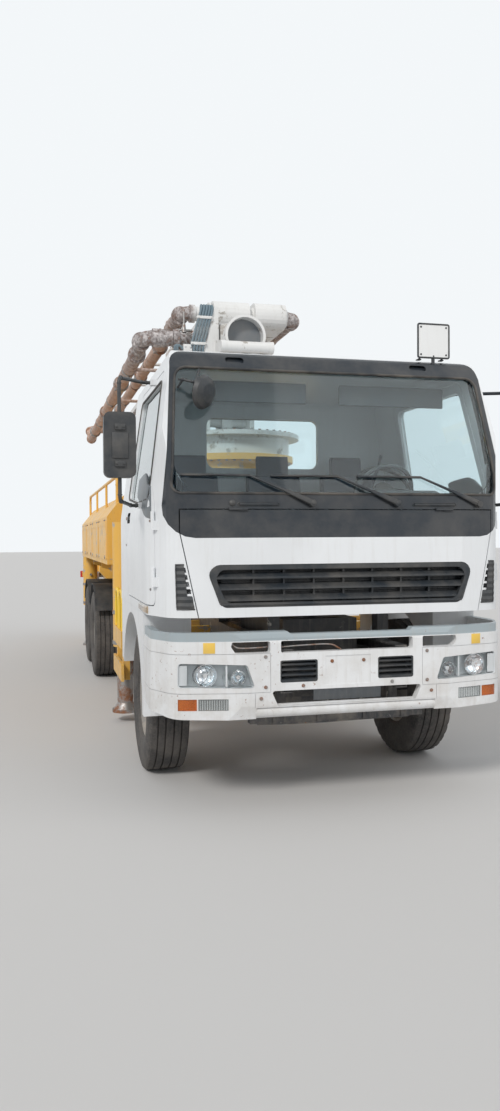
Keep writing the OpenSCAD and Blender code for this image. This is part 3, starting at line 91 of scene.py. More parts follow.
class Shader:
    """A material and short calls that add nodes to it."""

    def __init__(self, name):
        self.material = bpy.data.materials.new(name)
        self.material.use_nodes = True
        self.tree = self.material.node_tree
        self.tree.nodes.clear()
        self.bsdf = self.node("ShaderNodeBsdfPrincipled")
        output = self.node("ShaderNodeOutputMaterial")
        self.tree.links.new(self.bsdf.outputs[0], output.inputs["Surface"])
        self.place = self.node("ShaderNodeTexCoord").outputs["Object"]

    def node(self, kind, **values):
        made = self.tree.nodes.new(kind)
        for key, value in values.items():
            setattr(made, key, value)
        return made

    def put(self, socket, value):
        if isinstance(value, bpy.types.NodeSocket):
            self.tree.links.new(value, socket)
        elif hasattr(socket.default_value, "__len__") and len(socket.default_value) == 4:
            socket.default_value = (*value[:3], 1.0)
        else:
            socket.default_value = value

    def set(self, **values):
        for key, value in values.items():
            self.put(self.bsdf.inputs[key.replace("_", " ")], value)
        return self

    def math(self, operation, a, b=0.0, clamp=False):
        made = self.node("ShaderNodeMath", operation=operation, use_clamp=clamp)
        self.put(made.inputs[0], a)
        self.put(made.inputs[1], b)
        return made.outputs[0]

    def times(self, a, b, clamp=False):
        return self.math("MULTIPLY", a, b, clamp)

    def plus(self, a, b, clamp=False):
        return self.math("ADD", a, b, clamp)

    def stretched(self, scale):
        made = self.node("ShaderNodeMapping")
        self.put(made.inputs["Vector"], self.place)
        made.inputs["Scale"].default_value = scale
        return made.outputs[0]

    def noise(self, scale, detail=4.0, roughness=0.55, stretch=None):
        made = self.node("ShaderNodeTexNoise")
        self.put(made.inputs["Vector"], self.stretched(stretch) if stretch else self.place)
        made.inputs["Scale"].default_value = scale
        made.inputs["Detail"].default_value = detail
        made.inputs["Roughness"].default_value = roughness
        return made.outputs["Fac"]

    def ramp(self, value, low, high, flip=False):
        made = self.node("ShaderNodeMapRange", clamp=True)
        self.put(made.inputs["Value"], value)
        made.inputs["From Min"].default_value = low
        made.inputs["From Max"].default_value = high
        made.inputs["To Min"].default_value = 1.0 if flip else 0.0
        made.inputs["To Max"].default_value = 0.0 if flip else 1.0
        return made.outputs[0]

    def mix(self, share, a, b):
        made = self.node("ShaderNodeMix", data_type="RGBA")
        self.put(made.inputs[0], share)
        self.put(made.inputs[6], a)
        self.put(made.inputs[7], b)
        return made.outputs[2]

    def axis(self, index):
        made = self.node("ShaderNodeSeparateXYZ")
        self.put(made.inputs[0], self.place)
        return made.outputs[index]

    def bump(self, height, strength=0.3, distance=0.002):
        made = self.node("ShaderNodeBump")
        made.inputs["Strength"].default_value = strength
        made.inputs["Distance"].default_value = distance
        self.put(made.inputs["Height"], height)
        self.put(self.bsdf.inputs["Normal"], made.outputs[0])
        return self


RUST = (0.16, 0.070, 0.035)
DUST = (0.42, 0.37, 0.31)
CEMENT = (0.50, 0.47, 0.43)


def painted(name, colour, dirt=0.4, chips=0.0, rough=0.32, cement=0.0, coat=0.25):
    """Old paint: uneven colour, dust that gathers low down, chips to rust and splashes of cement."""
    s = Shader(name)
    shade = s.noise(1.6, 5)
    base = s.mix(s.ramp(shade, 0.35, 0.7), colour, [0.93 * c for c in colour])
    streaks = s.ramp(s.noise(9, 6, stretch=(3.5, 3.5, 0.35)), 0.52, 0.78)
    base = s.mix(s.times(streaks, dirt * 0.45), base, DUST)
    low = s.ramp(s.axis(2), 0.35, 1.35, flip=True)
    patches = s.ramp(s.noise(6, 8, 0.65), 0.42, 0.66)
    low = s.times(low, patches)
    base = s.mix(s.times(low, dirt, clamp=True), base, DUST)
    rough_out = s.plus(rough, s.times(patches, 0.22))
    height = s.noise(2.5, 3)
    if chips:
        spots = s.ramp(s.noise(34, 9, 0.7), 0.665 - 0.05 * chips, 0.70 - 0.05 * chips)
        where = s.ramp(s.noise(3.2, 4), 0.50, 0.60)
        spots = s.times(spots, where)
        rust = s.mix(s.noise(60, 4), RUST, [1.9 * c for c in RUST])
        base = s.mix(spots, base, rust)
        rough_out = s.plus(rough_out, s.times(spots, 0.4))
        height = s.math("SUBTRACT", s.times(height, 0.3), spots)
    if cement:
        blots = s.ramp(s.noise(7, 10, 0.72), 0.62 - 0.14 * cement, 0.66 - 0.14 * cement)
        crust = s.mix(s.noise(45, 6), CEMENT, [0.72 * c for c in CEMENT])
        base = s.mix(blots, base, crust)
        rough_out = s.plus(rough_out, s.times(blots, 0.45), clamp=True)
        height = s.plus(height, s.times(blots, s.noise(55, 8)))
    s.set(Base_Color=base, Roughness=rough_out, Coat_Weight=coat, Coat_Roughness=0.25)
    return s.bump(height, 0.22, 0.003).material


def plastic(name, colour, rough=0.5, dust=0.4, grain=900):
    s = Shader(name)
    film = s.times(s.ramp(s.noise(4, 8, 0.65), 0.40, 0.75), dust)
    base = s.mix(film, colour, DUST)
    s.set(Base_Color=base, Roughness=s.plus(rough, s.times(film, 0.3)))
    return s.bump(s.noise(grain, 2), 0.12, 0.0006).material


def metal(name, colour, rough=0.4, rust=0.0, metallic=0.85):
    s = Shader(name)
    blots = s.ramp(s.noise(8, 10, 0.7), 0.56 - 0.25 * rust, 0.68 - 0.25 * rust)
    brown = s.mix(s.noise(30, 6), RUST, [2.1 * c for c in RUST])
    s.set(
        Base_Color=s.mix(blots, colour, brown),
        Roughness=s.plus(rough, s.times(blots, 0.4)),
        Metallic=s.math("SUBTRACT", metallic, s.times(blots, metallic)),
    )
    return s.bump(s.noise(70, 6), 0.2, 0.001).material


def glass(name, tint, rough=0.02):
    s = Shader(name)
    s.set(Base_Color=tint, Roughness=rough, Transmission_Weight=1.0, IOR=1.45)
    return s.material


def lens(name, colour):
    """A moulded lamp lens with fine vertical flutes."""
    s = Shader(name)
    s.set(Base_Color=colour, Roughness=0.12, Transmission_Weight=0.75, IOR=1.45, Coat_Weight=0.4)
    waves = s.node("ShaderNodeTexWave", bands_direction="X")
    s.put(waves.inputs["Vector"], s.place)
    waves.inputs["Scale"].default_value = 55
    return s.bump(waves.outputs["Fac"], 0.25, 0.002).material


def tyre_rubber():
    """Grey, sun-dried rubber, dusty in its grooves and brownish on the tread."""
    s = Shader("tyre_rubber")
    dust = s.ramp(s.noise(5, 8, 0.7), 0.35, 0.72)
    fine = s.ramp(s.noise(60, 6, 0.7), 0.4, 0.7)
    base = s.mix(s.times(dust, 0.55), (0.035, 0.035, 0.037), (0.20, 0.18, 0.16))
    base = s.mix(s.times(fine, 0.25), base, (0.24, 0.21, 0.18))
    s.set(Base_Color=base, Roughness=0.85)
    return s.bump(s.noise(220, 4), 0.3, 0.001).material


def crusted_pipe():
    """A delivery pipe: primer and rust under splashed, dried cement."""
    s = Shader("crusted_pipe")
    rusty = s.mix(s.ramp(s.noise(7, 8, 0.65), 0.35, 0.65), (0.30, 0.19, 0.16), (0.44, 0.35, 0.31))
    crust = s.ramp(s.noise(14, 10, 0.78), 0.42, 0.50)
    base = s.mix(crust, rusty,
                 s.mix(s.ramp(s.noise(48, 6), 0.35, 0.65), (0.30, 0.27, 0.27), (0.66, 0.62, 0.61)))
    far = s.mix(s.ramp(s.noise(6, 8, 0.65), 0.35, 0.65), (0.60, 0.34, 0.22), (0.66, 0.50, 0.42))
    base = s.mix(s.times(s.ramp(s.axis(1), FRONT + 2.7, FRONT + 4.2), 0.75), base, far)
    s.set(Base_Color=base, Roughness=0.9)
    lumps = s.plus(s.times(crust, 0.7), s.times(s.noise(38, 8, 0.7), 0.5))
    return s.bump(lumps, 0.8, 0.012).material


def cloth(name, colour):
    s = Shader(name)
    weave = s.noise(600, 2, stretch=(1, 1, 4))
    s.set(Base_Color=s.mix(s.noise(9, 5), colour, [0.7 * c for c in colour]), Roughness=0.95)
    return s.bump(weave, 0.4, 0.001).material


WHITE = painted("cab_paint", (0.80, 0.82, 0.84), dirt=0.30)
BUMPER_PAINT = painted("bumper_paint", (0.78, 0.79, 0.80), dirt=0.55, chips=0.9, rough=0.38)
YELLOW = painted("machine_paint", (0.82, 0.47, 0.085), dirt=0.5, chips=0.7, cement=0.25, rough=0.45)
BOOM = painted("boom_paint", (0.78, 0.78, 0.77), dirt=0.4, chips=0.5, cement=0.35, rough=0.42)
FRAME = painted("frame_paint", (0.055, 0.057, 0.062), dirt=0.55, chips=0.4, cement=0.15, rough=0.55)
BLACK = plastic("black_plastic", (0.020, 0.026, 0.033), 0.45, 0.22)
# Grey plastic for the tow plate; the same dark grey is also painted shade on the turret's round plate
GREY_AND_PAINTED_SHADE = plastic("grey_plastic", (0.17, 0.19, 0.21), 0.55, 0.3)
PANEL = plastic("gloss_panel", (0.020, 0.026, 0.034), 0.22, 0.12, 300)
RUBBER = plastic("hose_rubber", (0.020, 0.021, 0.023), 0.6, 0.35)
HOSE = plastic("hose_sleeve", (0.14, 0.20, 0.24), 0.6, 0.4)
INTERIOR = plastic("dash_plastic", (0.10, 0.115, 0.13), 0.6, 0.2)
SEAT = cloth("seat_cloth", (0.07, 0.09, 0.12))
WINDOW = glass("window_glass", (0.80, 0.90, 0.92))
CLEAR = glass("lamp_cover", (0.93, 0.96, 0.97), 0.03)
AMBER = lens("amber_lens", (0.95, 0.25, 0.03))
RED = lens("red_lens", (0.75, 0.03, 0.03))
REFLECTOR = metal("lamp_reflector", (0.86, 0.88, 0.90), 0.08, 0, 1.0)
STEEL = metal("worn_steel", (0.36, 0.35, 0.34), 0.45, 0.35)
CHROME = metal("rod_chrome", (0.72, 0.73, 0.75), 0.15, 0.05, 1.0)
RIM = painted("rim_paint", (0.24, 0.23, 0.22), dirt=0.7, chips=0.9, rough=0.6, cement=0.1)
TYRE = tyre_rubber()
PIPE = crusted_pipe()
SIGN = painted("sign_face", (0.86, 0.87, 0.87), dirt=0.15)
STRIP = painted("bumper_strip_paint", (0.36, 0.42, 0.45), dirt=0.45, chips=0.3, rough=0.4)
STICKER = painted("sticker_face", (0.85, 0.56, 0.10), dirt=0.2, coat=0.0)
MIRROR = metal("mirror_glass", (0.80, 0.84, 0.86), 0.03, 0, 1.0)
LAMP_GREY = plastic("lamp_housing", (0.66, 0.69, 0.71), 0.28, 0.1, 400)
FOG = lens("fog_lens", (0.62, 0.66, 0.66))
SIDE_LENS = lens("side_lamp_lens", (0.74, 0.55, 0.36))
MOULDING = plastic("door_moulding", (0.13, 0.155, 0.175), 0.4, 0.3)
SAFETY = painted("safety_yellow", (0.90, 0.60, 0.04), dirt=0.2)


# Meshes


class Form:
    """Collects simple shapes into one mesh."""

    def __init__(self):
        self.bm = bmesh.new()
        self.material = 0

    def mark(self, faces):
        for face in faces:
            face.material_index = self.material

    def grid(self, rows, closed=False, caps=True):
        """Skins a list of rows of points, each row a closed ring."""
        rings = [[self.bm.verts.new(p) for p in row] for row in rows]
        faces = []
        pairs = list(zip(rings, rings[1:])) + ([(rings[-1], rings[0])] if closed else [])
        for a, b in pairs:
            for i in range(len(a)):
                j = (i + 1) % len(a)
                faces.append(self.bm.faces.new((a[i], a[j], b[j], b[i])))
        if caps and not closed:
            faces.append(self.bm.faces.new(list(reversed(rings[0]))))
            faces.append(self.bm.faces.new(rings[-1]))
        self.mark(faces)

    def box(self, low, high):
        low, high = Vector(low), Vector(high)
        corners = [(0, 0), (1, 0), (1, 1), (0, 1)]
        rows = [
            [Vector((high.x if i else low.x, high.y if j else low.y, z)) for i, j in corners]
            for z in (low.z, high.z)
        ]
        self.grid(rows)

    def prism(self, outline, low, high, axis=0):
        """A flat outline carried along an axis: the outline's pair is (y, z), (x, z) or (x, y)."""
        def point(a, b, c):
            return Vector([(c, a, b), (a, c, b), (a, b, c)][axis])
        self.grid([[point(a, b, c) for a, b in outline] for c in (low, high)])

    def lathe(self, profile, centre, axis, steps=48, closed=True, radius_of=None):
        """Turns a profile of (along, radius) pairs round an axis through the centre."""
        axis, side, other = square(axis)
        rows = []
        for i, turn in enumerate(turns(steps)):
            out = side * math.cos(turn) + other * math.sin(turn)
            rows.append([
                centre + axis * a + out * (radius_of(k, i, r) if radius_of else r)
                for k, (a, r) in enumerate(profile)
            ])
        rings = [[self.bm.verts.new(p) for p in row] for row in rows]
        faces = []
        for n in range(steps):
            a, b = rings[n], rings[(n + 1) % steps]
            for i in range(len(profile) if closed else len(profile) - 1):
                j = (i + 1) % len(profile)
                faces.append(self.bm.faces.new((a[i], a[j], b[j], b[i])))
        self.mark(faces)

    def knob(self, profile, centre, axis, steps=24, tip=None):
        """Turns a profile and closes it on the axis; tip is the place along it of a raised end."""
        end = profile[-1][0] if tip is None else tip
        self.lathe([(profile[0][0], CORE), *profile, (end, CORE)], centre, axis, steps, False)

    def band(self, centre, axis, low, high, inner, outer):
        """A square-edged ring round an axis."""
        self.lathe([(low, inner), (low, outer), (high, outer), (high, inner)], centre, axis, 32)

    def rod(self, a, b, radius, sides=16, end_radius=None):
        a, b = Vector(a), Vector(b)
        _, side, other = square(b - a)
        self.grid([
            [p + (side * math.cos(t) + other * math.sin(t)) * r for t in turns(sides)]
            for p, r in ((a, radius), (b, end_radius or radius))
        ])

    def tube(self, points, radius, sides=12, closed=False, wobble=0.0):
        """A round tube along a line of points."""
        points = [Vector(p) for p in points]
        count = len(points)
        rows = []
        side = None
        for i, p in enumerate(points):
            back = points[i - 1] if i or closed else p
            ahead = points[(i + 1) % count] if i < count - 1 or closed else p
            along = (ahead - back).normalized()
            if side is None:
                side = along.orthogonal().normalized()
            side = (side - along * side.dot(along)).normalized()
            other = along.cross(side)
            r = radius * (1 + wobble * random.uniform(-1, 1))
            rows.append([
                p + (side * math.cos(t) + other * math.sin(t)) * r
                for t in turns(sides)
            ])
        self.grid(rows, closed=closed)

    def hexagon(self, centre, axis, radius, height):
        axis = Vector(axis).normalized()
        self.rod(centre, centre + axis * height, radius, 6)

    def made(self, name):
        """The form as an object in the scene."""
        bmesh.ops.recalc_face_normals(self.bm, faces=self.bm.faces)
        mesh = bpy.data.meshes.new(name)
        self.bm.to_mesh(mesh)
        self.bm.free()
        made = bpy.data.objects.new(name, mesh)
        bpy.context.scene.collection.objects.link(made)
        return made

    def piece(self, name, look, body="chassis", smooth=35, bevel=0.0):
        """A piece of the visual model, in one look or a list of them, that rides on a body."""
        looks = look if isinstance(look, list) else [look]
        made = self.made(name)
        for material in looks:
            made.data.materials.append(material)
        if bevel:
            modifier = made.modifiers.new("bevel", "BEVEL")
            modifier.width = bevel
            modifier.segments = 2
            modifier.limit_method = "ANGLE"
            modifier.angle_limit = math.radians(35)
            apply_modifiers(made)
        made.data.shade_smooth()
        made.data.set_sharp_from_angle(angle=math.radians(smooth))
        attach(made, body)
        return made


def apply_modifiers(made):
    graph = bpy.context.evaluated_depsgraph_get()
    done = bpy.data.meshes.new_from_object(made.evaluated_get(graph))
    made.modifiers.clear()
    made.data = done


def curve(points, steps=8):
    """A smooth line through points."""
    points = [Vector(p) for p in points]
    ends = [2 * points[0] - points[1]] + points + [2 * points[-1] - points[-2]]
    line = []
    for i in range(1, len(ends) - 2):
        a, b, c, d = ends[i - 1:i + 3]
        for k in range(steps):
            t = k / steps
            line.append(0.5 * (
                2 * b + (c - a) * t + (2 * a - 5 * b + 4 * c - d) * t * t
                + (3 * b - 3 * c + d - a) * t ** 3
            ))
    return line + [points[-1]]


def rounded(x0, x1, y0, y1, r, n=5):
    """A rectangle with round corners, as a list of pairs."""
    corners = [(x1 - r, y1 - r, 0), (x0 + r, y1 - r, 90), (x0 + r, y0 + r, 180), (x1 - r, y0 + r, 270)]
    return [
        (cx + r * math.cos(math.radians(a + 90 * k / n)), cy + r * math.sin(math.radians(a + 90 * k / n)))
        for cx, cy, a in corners for k in range(n + 1)
    ]


def paint(node, material, *others):
    """Gives a frame node its material. The others are rules, each with the material of the faces it picks."""
    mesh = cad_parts[node].data
    mesh.materials.clear()
    rules = list(zip(others[::2], others[1::2]))
    for choice in (material, *others[1::2]):
        mesh.materials.append(choice)
    for face in mesh.polygons:
        c = face.center
        picked = [k + 1 for k, (rule, _) in enumerate(rules) if rule(c.x, c.y - FRONT, c.z)]
        face.material_index = picked[0] if picked else 0


# Wheels

TREAD_STEPS = 132
GROOVES = (-0.084, -0.030, 0.030, 0.084)
GROOVE_HALF = 0.0055
GROOVE_DEPTH = 0.013


def tyre_profile():
    """One side's bead over the crown to the other bead, as (across, radius)."""
    half = TYRE_W / 2
    crown = [(-0.128, 0.004)]
    for g in GROOVES:
        crown += [(g - GROOVE_HALF, 0.0), (g - 0.6 * GROOVE_HALF, GROOVE_DEPTH)]
        crown += [(g + 0.6 * GROOVE_HALF, GROOVE_DEPTH), (g + GROOVE_HALF, 0.0)]
    crown += [(0.128, 0.004)]
    tread = [(a, TYRE_R - cut - 0.10 * a * a) for a, cut in crown]
    wall = [(0.112, RIM_R + 0.002), (0.132, RIM_R + 0.018), (0.140, RIM_R + 0.045), (half - 0.004, 0.385)]
    wall += [(half, 0.425), (half - 0.003, 0.465), (half - 0.010, 0.505), (0.139, 0.524)]
    left = [(-a, r) for a, r in wall]
    return left + tread + wall[::-1] + [(0.100, RIM_R - 0.004), (-0.100, RIM_R - 0.004)]


def tyre(form, centre):
    profile = tyre_profile()
    half = TYRE_W / 2

    def radius_of(k, i, r):
        across = abs(profile[k][0])
        if 0.10 < across < half - 0.006 and r > 0.515 and i % 4 == 0:
            return r - 0.008
        return r

    form.lathe(profile, centre, (1, 0, 0), TREAD_STEPS, True, radius_of)


def disc_mesh():
    """The pressed disc of a wheel with its hand holes, at the origin with its dish towards +X."""
    form = Form()
    dish = [(0.020, 0.118), (0.026, 0.150), (0.026, 0.190), (0.010, 0.212), (-0.035, 0.240),
            (-0.060, 0.262)]
    back = [(a - 0.013, r) for a, r in reversed(dish)]
    form.lathe(dish + back, Vector(), (1, 0, 0), 64)
    disc = form.made("disc")
    holes = Form()
    for t in turns(10, 0.5):
        spot = Vector((0, math.cos(t) * 0.221, math.sin(t) * 0.221))
        holes.rod(spot + Vector((-0.2, 0, 0)), spot + Vector((0.2, 0, 0)), 0.0215, 16)
    cutter = holes.made("holes")
    modifier = disc.modifiers.new("cut", "BOOLEAN")
    modifier.operation = "DIFFERENCE"
    modifier.object = cutter
    modifier.solver = "EXACT"
    bpy.context.view_layer.update()
    apply_modifiers(disc)
    done = disc.data.copy()
    bpy.data.objects.remove(disc)
    bpy.data.objects.remove(cutter)
    return done


DISC = disc_mesh()


def rim(form, centre, out):
    """A rim with its disc; out is +1 or -1, the side that the disc's dish faces."""
    barrel = [(-0.118, 0.296), (-0.106, 0.296), (-0.098, 0.280), (-0.070, 0.262), (0.070, 0.262)]
    barrel += [(0.098, 0.280), (0.106, 0.296), (0.118, 0.296), (0.112, 0.276), (0.078, 0.252)]
    barrel += [(-0.078, 0.252), (-0.112, 0.276)]
    form.lathe(barrel, centre, (1, 0, 0), 64)
    turned = Matrix.Translation(centre) @ Matrix.Diagonal((out, 1, 1, 1))
    start = len(form.bm.faces)
    copy = DISC.copy()
    copy.transform(turned)
    form.bm.from_mesh(copy)
    form.bm.faces.ensure_lookup_table()
    for face in form.bm.faces[start:]:
        face.material_index = form.material


def hub(form, centre, out, face, reach):
    """The hub with its nuts: face is where the disc bolts on, reach how far the hub stands out."""
    axis = Vector((out, 0, 0))
    c = centre + axis * face
    profile = [(-0.03, 0.118), (0.012, 0.118), (0.018, 0.108), (0.020, 0.085), (reach - 0.014, 0.078)]
    profile += [(reach, 0.066), (reach, CORE), (-0.03, CORE)]
    form.lathe(profile, c, axis, 40)
    for t in turns(10):
        spot = c + Vector((0, math.cos(t), math.sin(t))) * 0.1675 + axis * 0.008
        form.hexagon(spot, axis, 0.019, 0.024)
        form.rod(spot, spot + axis * 0.040, 0.010, 8)
    for t in turns(8, 0.5):
        spot = c + Vector((0, math.cos(t), math.sin(t))) * 0.052 + axis * (reach - 0.001)
        form.hexagon(spot, axis, 0.008, 0.007)


def wheel(node, centres, out, face, reach):
    """A wheel, or twin wheels with their dishes face to face, in place of a frame node."""
    rubber = Form()
    for centre in centres:
        tyre(rubber, centre)
    made = rubber.piece(node + "_tyre", TYRE, node, smooth=28)
    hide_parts(node)
    iron = Form()
    for k, centre in enumerate(centres):
        rim(iron, centre, -out if k else out)
    hub(iron, centres[-1], out, face, reach)
    metal_piece = iron.piece(node + "_rim", RIM, node, smooth=32)
    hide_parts(node)


def wheels():
    for side, sign in SIDES:
        wheel(f"front_wheel_{side}", [at(sign * FRONT_TRACK, FRONT_AXLE_Y, TYRE_R)], sign, 0.026, 0.085)
        for row, y in enumerate(REAR_AXLE_Y):
            centres = [at(sign * (REAR_TRACK + k * TWIN_GAP / 2), y, TYRE_R) for k in (-1, 1)]
            wheel(f"rear_wheel_{row + 1}_{side}", centres, sign, -0.040, 0.130)


wheels()


# Work on the frame's surfaces

TREES = {}


def hit(node, start, direction=(0, 1, 0)):
    """Where a line first meets a frame node, and the normal there that faces the line's start."""
    if node not in TREES:
        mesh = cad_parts[node].data
        TREES[node] = BVHTree.FromPolygons([v.co for v in mesh.vertices],
                                           [f.vertices for f in mesh.polygons])
    direction = Vector(direction).normalized()
    place, normal, _, _ = TREES[node].ray_cast(Vector(start), direction)
    if place is None:
        return None
    return place, -normal if normal.dot(direction) > 0 else normal


def front_hit(node, x, z):
    return hit(node, at(x, -1.0, z))


def side_hit(node, sign, y, z):
    return hit(node, at(sign * 3.0, y, z), (-sign, 0, 0))


def loop(corners, n=6):
    """A closed outline of (a, b, radius) corners with their fillets, as a list of pairs."""
    points = []
    for k, (a, b, r) in enumerate(corners):
        c = Vector((a, b))
        u = (Vector(corners[k - 1][:2]) - c).normalized()
        v = (Vector(corners[(k + 1) % len(corners)][:2]) - c).normalized()
        if not r:
            points.append((a, b))
            continue
        half = u.angle(v) / 2
        reach = r / math.tan(half)
        middle = c + (u + v).normalized() * (r / math.sin(half))
        start, end = c + u * reach - middle, c + v * reach - middle
        turn = start.angle_signed(end)
        for i in range(n + 1):
            t = -turn * i / n
            points.append(tuple(middle + Vector((
                start.x * math.cos(t) - start.y * math.sin(t),
                start.x * math.sin(t) + start.y * math.cos(t),
            ))))
    return points


def chosen(node, rule):
    """A form with the faces of a frame node that the rule picks by centre and normal."""
    form = Form()
    form.bm.from_mesh(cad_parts[node].data)
    bmesh.ops.remove_doubles(form.bm, verts=form.bm.verts, dist=1e-5)
    back = Vector((0, FRONT, 0))
    gone = [f for f in form.bm.faces if not rule(f.calc_center_median() - back, f.normal)]
    bmesh.ops.delete(form.bm, geom=gone, context="FACES")
    form.mark(form.bm.faces)
    return form


def bolt(form, place, normal, size=0.011, height=0.008):
    n = Vector(normal).normalized()
    form.rod(place - n * 0.002, place + n * 0.0022, size * 1.3, 14)
    form.hexagon(place + n * 0.002, n, size, height)


def seal(form, line, node, radius, aim):
    """A rubber edge along a closed line of pairs laid on a frame node."""
    points = [found[0] for found in (aim(node, a, b) for a, b in line) if found]
    form.tube(points, radius, 8, closed=True)


def dense(line, step=0.06):
    """A closed line of pairs with more points on its long stretches."""
    made = []
    for a, b in zip(line, line[1:] + line[:1]):
        a, b = Vector(a), Vector(b)
        count = max(1, round((b - a).length / step))
        made += [tuple(a.lerp(b, k / count)) for k in range(count)]
    return made


# The frame's own nodes


def in_handle(x, y, z):
    return 1.388 < y < 1.592 and 1.863 < z < 1.947 and 1.19 < abs(x) < 1.2335


# The faces of the round plate on the turret's front, which take a dark grey as painted shade for the shadow
# on it
def in_drum_painted_shade(x, y, z):
    return 2.09 < y < 2.2 and math.hypot(x - BOOM_X, z - 3.5) < 0.157


def on_pipe(x, y, z):
    return x < -0.50


def paint_frame():
    for material, nodes in (
        (FRAME, "chassis_frame engine front_axle knuckle_left knuckle_right rear_bogie grate"),
        (WHITE, "cab_shell front_lid front_fenders"),
        (BLACK, "grille mirrors mirror_left mirror_right mudguards cab_fittings bumper_vents"),
        (PANEL, "screen_surround lid_panel"),
        (WINDOW, "cab_glass door_glass_left door_glass_right"),
        (CLEAR, "lamps"),
        (YELLOW, "pedestal deck hopper side_tanks"),
        (STEEL, "pump_unit agitator"),
        (PIPE, "delivery_line"),
        (BOOM, "barrel_1 barrel_2 barrel_3"),
        (CHROME, "rod_1 rod_2 rod_3"),
    ):
        for node in nodes.split():
            paint(node, material)
    for side, _ in SIDES:
        paint(f"door_{side}", WHITE, in_handle, BLACK)
        for end in ("front", "rear"):
            paint(f"arm_{end}_{side}", YELLOW)
            paint(f"leg_{end}_{side}", STEEL)
    paint("side_guards", YELLOW, lambda x, y, z: z > 0.955, SAFETY)
    paint("cab_interior", INTERIOR, lambda x, y, z: z > 1.561 and y > 1.145, SEAT)
    paint("bumper", BUMPER_PAINT, lambda x, y, z: z > 1.1065, STRIP)
    # The round plate at the turret's front is painted dark grey: painted shade, not its own colour
    paint("turret", BOOM, lambda x, y, z: x < -0.50 and y > 2.35, PIPE, in_drum_painted_shade, GREY_AND_PAINTED_SHADE)
    paint("boom_1", BOOM, on_pipe, PIPE)
    paint("boom_2", BOOM, on_pipe, PIPE)
    paint("boom_3", BOOM, lambda x, y, z: x > 0.39, PIPE)


paint_frame()


# Cab front

SCREEN = [(-1.105, 2.030, 0.06), (1.105, 2.030, 0.06), (1.045, 2.845, 0.08), (-1.045, 2.845, 0.08)]
CREASE_LOW = 0.783


def grown(line, middle, by):
    """A line of pairs moved away from its middle."""
    m = Vector(middle)
    return [tuple(Vector(q) + (Vector(q) - m).normalized() * by) for q in line]


def windscreen_seal():
    form = Form()
    line = grown(loop(SCREEN, 8), (0, 2.43), 0.008)
    seal(form, dense(line, 0.08), "screen_surround", 0.009, front_hit)
    form.piece("windscreen_seal", RUBBER)


def wipers():
    """Cast wiper arms that taper to the blade, and blades with a sprung frame."""
    for k, x in enumerate((-0.216, 0.367, 0.950)):
        form = Form()
        pivot, out = front_hit("screen_surround", x + 0.035, 1.964)
        pivot = Vector((x, pivot.y, 1.964))
        elbow, tilt = front_hit("cab_glass", x - 0.405, 2.140)
        form.knob([(0.0, 0.024), (0.030, 0.022), (0.040, 0.012)], pivot + out * 0.004, out, tip=0.041)
        start = pivot + out * 0.030
        end = elbow + tilt * 0.020
        across = (end - start).normalized()
        flat = across.cross(out).normalized()
        rows = []
        for t, wide, deep in ((-0.02, 0.016, 0.010), (0.0, 0.021, 0.013), (0.12, 0.019, 0.012),
                              (0.42, 0.012, 0.008),
                              (0.45, 0.008, 0.006), (1.0, 0.006, 0.004)):
            c = start.lerp(end, t) + out * (0.010 * math.sin(math.pi * min(1, max(0, t))))
            rows.append([c + flat * wide * a + out * deep * b for a, b in
                         ((1, 0), (0.7, 0.8), (-0.7, 0.8), (-1, 0), (-0.7, -0.8), (0.7, -0.8))])
        form.grid(rows)
        form.tube([start.lerp(end, t) + flat * 0.010 - out * 0.002 for t in (0.08, 0.2, 0.3, 0.41)], 0.0045,
                  8)
        far, near = (front_hit("cab_glass", x - a, 2.134)[0] + tilt * 0.012 for a in (0.833, 0.402))
        for a, b, lift, wide in ((0.0, 1.0, 0.006, 0.006), (0.18, 0.82, 0.011, 0.008),
                                 (0.34, 0.66, 0.015, 0.009)):
            bow = [near.lerp(far, a + (b - a) * i / 8) + tilt * (lift + 0.004 * math.sin(math.pi * i / 8))
                   for i in range(9)]
            form.grid([[c + tilt * u + Vector((0, 0, 1)) * v for u, v in
                        ((0.002, wide / 2), (0.002, -wide / 2), (-0.002, -wide / 2), (-0.002, wide / 2))]
                        for c in bow])
        for t in (0.02, 0.18, 0.34, 0.66, 0.82, 0.98):
            c = near.lerp(far, t) + tilt * 0.004
            form.rod(c - tilt * 0.006, c + tilt * 0.010, 0.005, 8)
        form.piece(f"wiper_{k + 1}", BLACK, bevel=0.0012)


def cowl_details():
    """The washer nozzle and the two grip slots in the strip under the windscreen."""
    form = Form()
    place, out = front_hit("screen_surround", -0.735, 1.966)
    form.knob([(-0.002, 0.021), (0.005, 0.020), (0.012, 0.012)], place, out, 20, tip=0.014)
    form.rod(place + out * 0.012, place + out * 0.018, 0.004, 8)
    for x0, x1 in ((-0.69, -0.44), (0.49, 0.78)):
        left, right = front_hit("screen_surround", x0, 1.958)[0], front_hit("screen_surround", x1, 1.958)[0]
        up = Vector((0, 0, 1))
        for lift in (0.011, -0.011):
            form.tube([left + up * lift, left.lerp(right, 0.5) + up * lift, right + up * lift], 0.0042, 8)
        for c, way in ((left, -1), (right, 1)):
            form.tube([
                c + up * (0.011 * math.cos(t)) + Vector((0.011 * math.sin(t) * way, 0, 0))
                for t in [math.pi * i / 6 for i in range(7)]
            ], 0.0042, 8)
        form.rod(left + Vector((0, -0.001, 0)), right + Vector((0, -0.001, 0)), 0.0085, 10)
    form.piece("cowl_details", BLACK)


# Heights of the white bars between a corner's slots, with the skin under and over them
VENT_BARS = (1.306, 1.351, 1.395, 1.439, 1.483, 1.527, 1.583)


def vent_place(x, z):
    """The skin's place at a height, read off the nearest bars."""
    low = max(bar for bar in VENT_BARS if bar <= z)
    high = min((bar for bar in VENT_BARS if bar > z), default=low)
    a = front_hit("cab_shell", x, low)[0]
    if high == low:
        return a
    return a.lerp(front_hit("cab_shell", x, high)[0], (z - low) / (high - low))


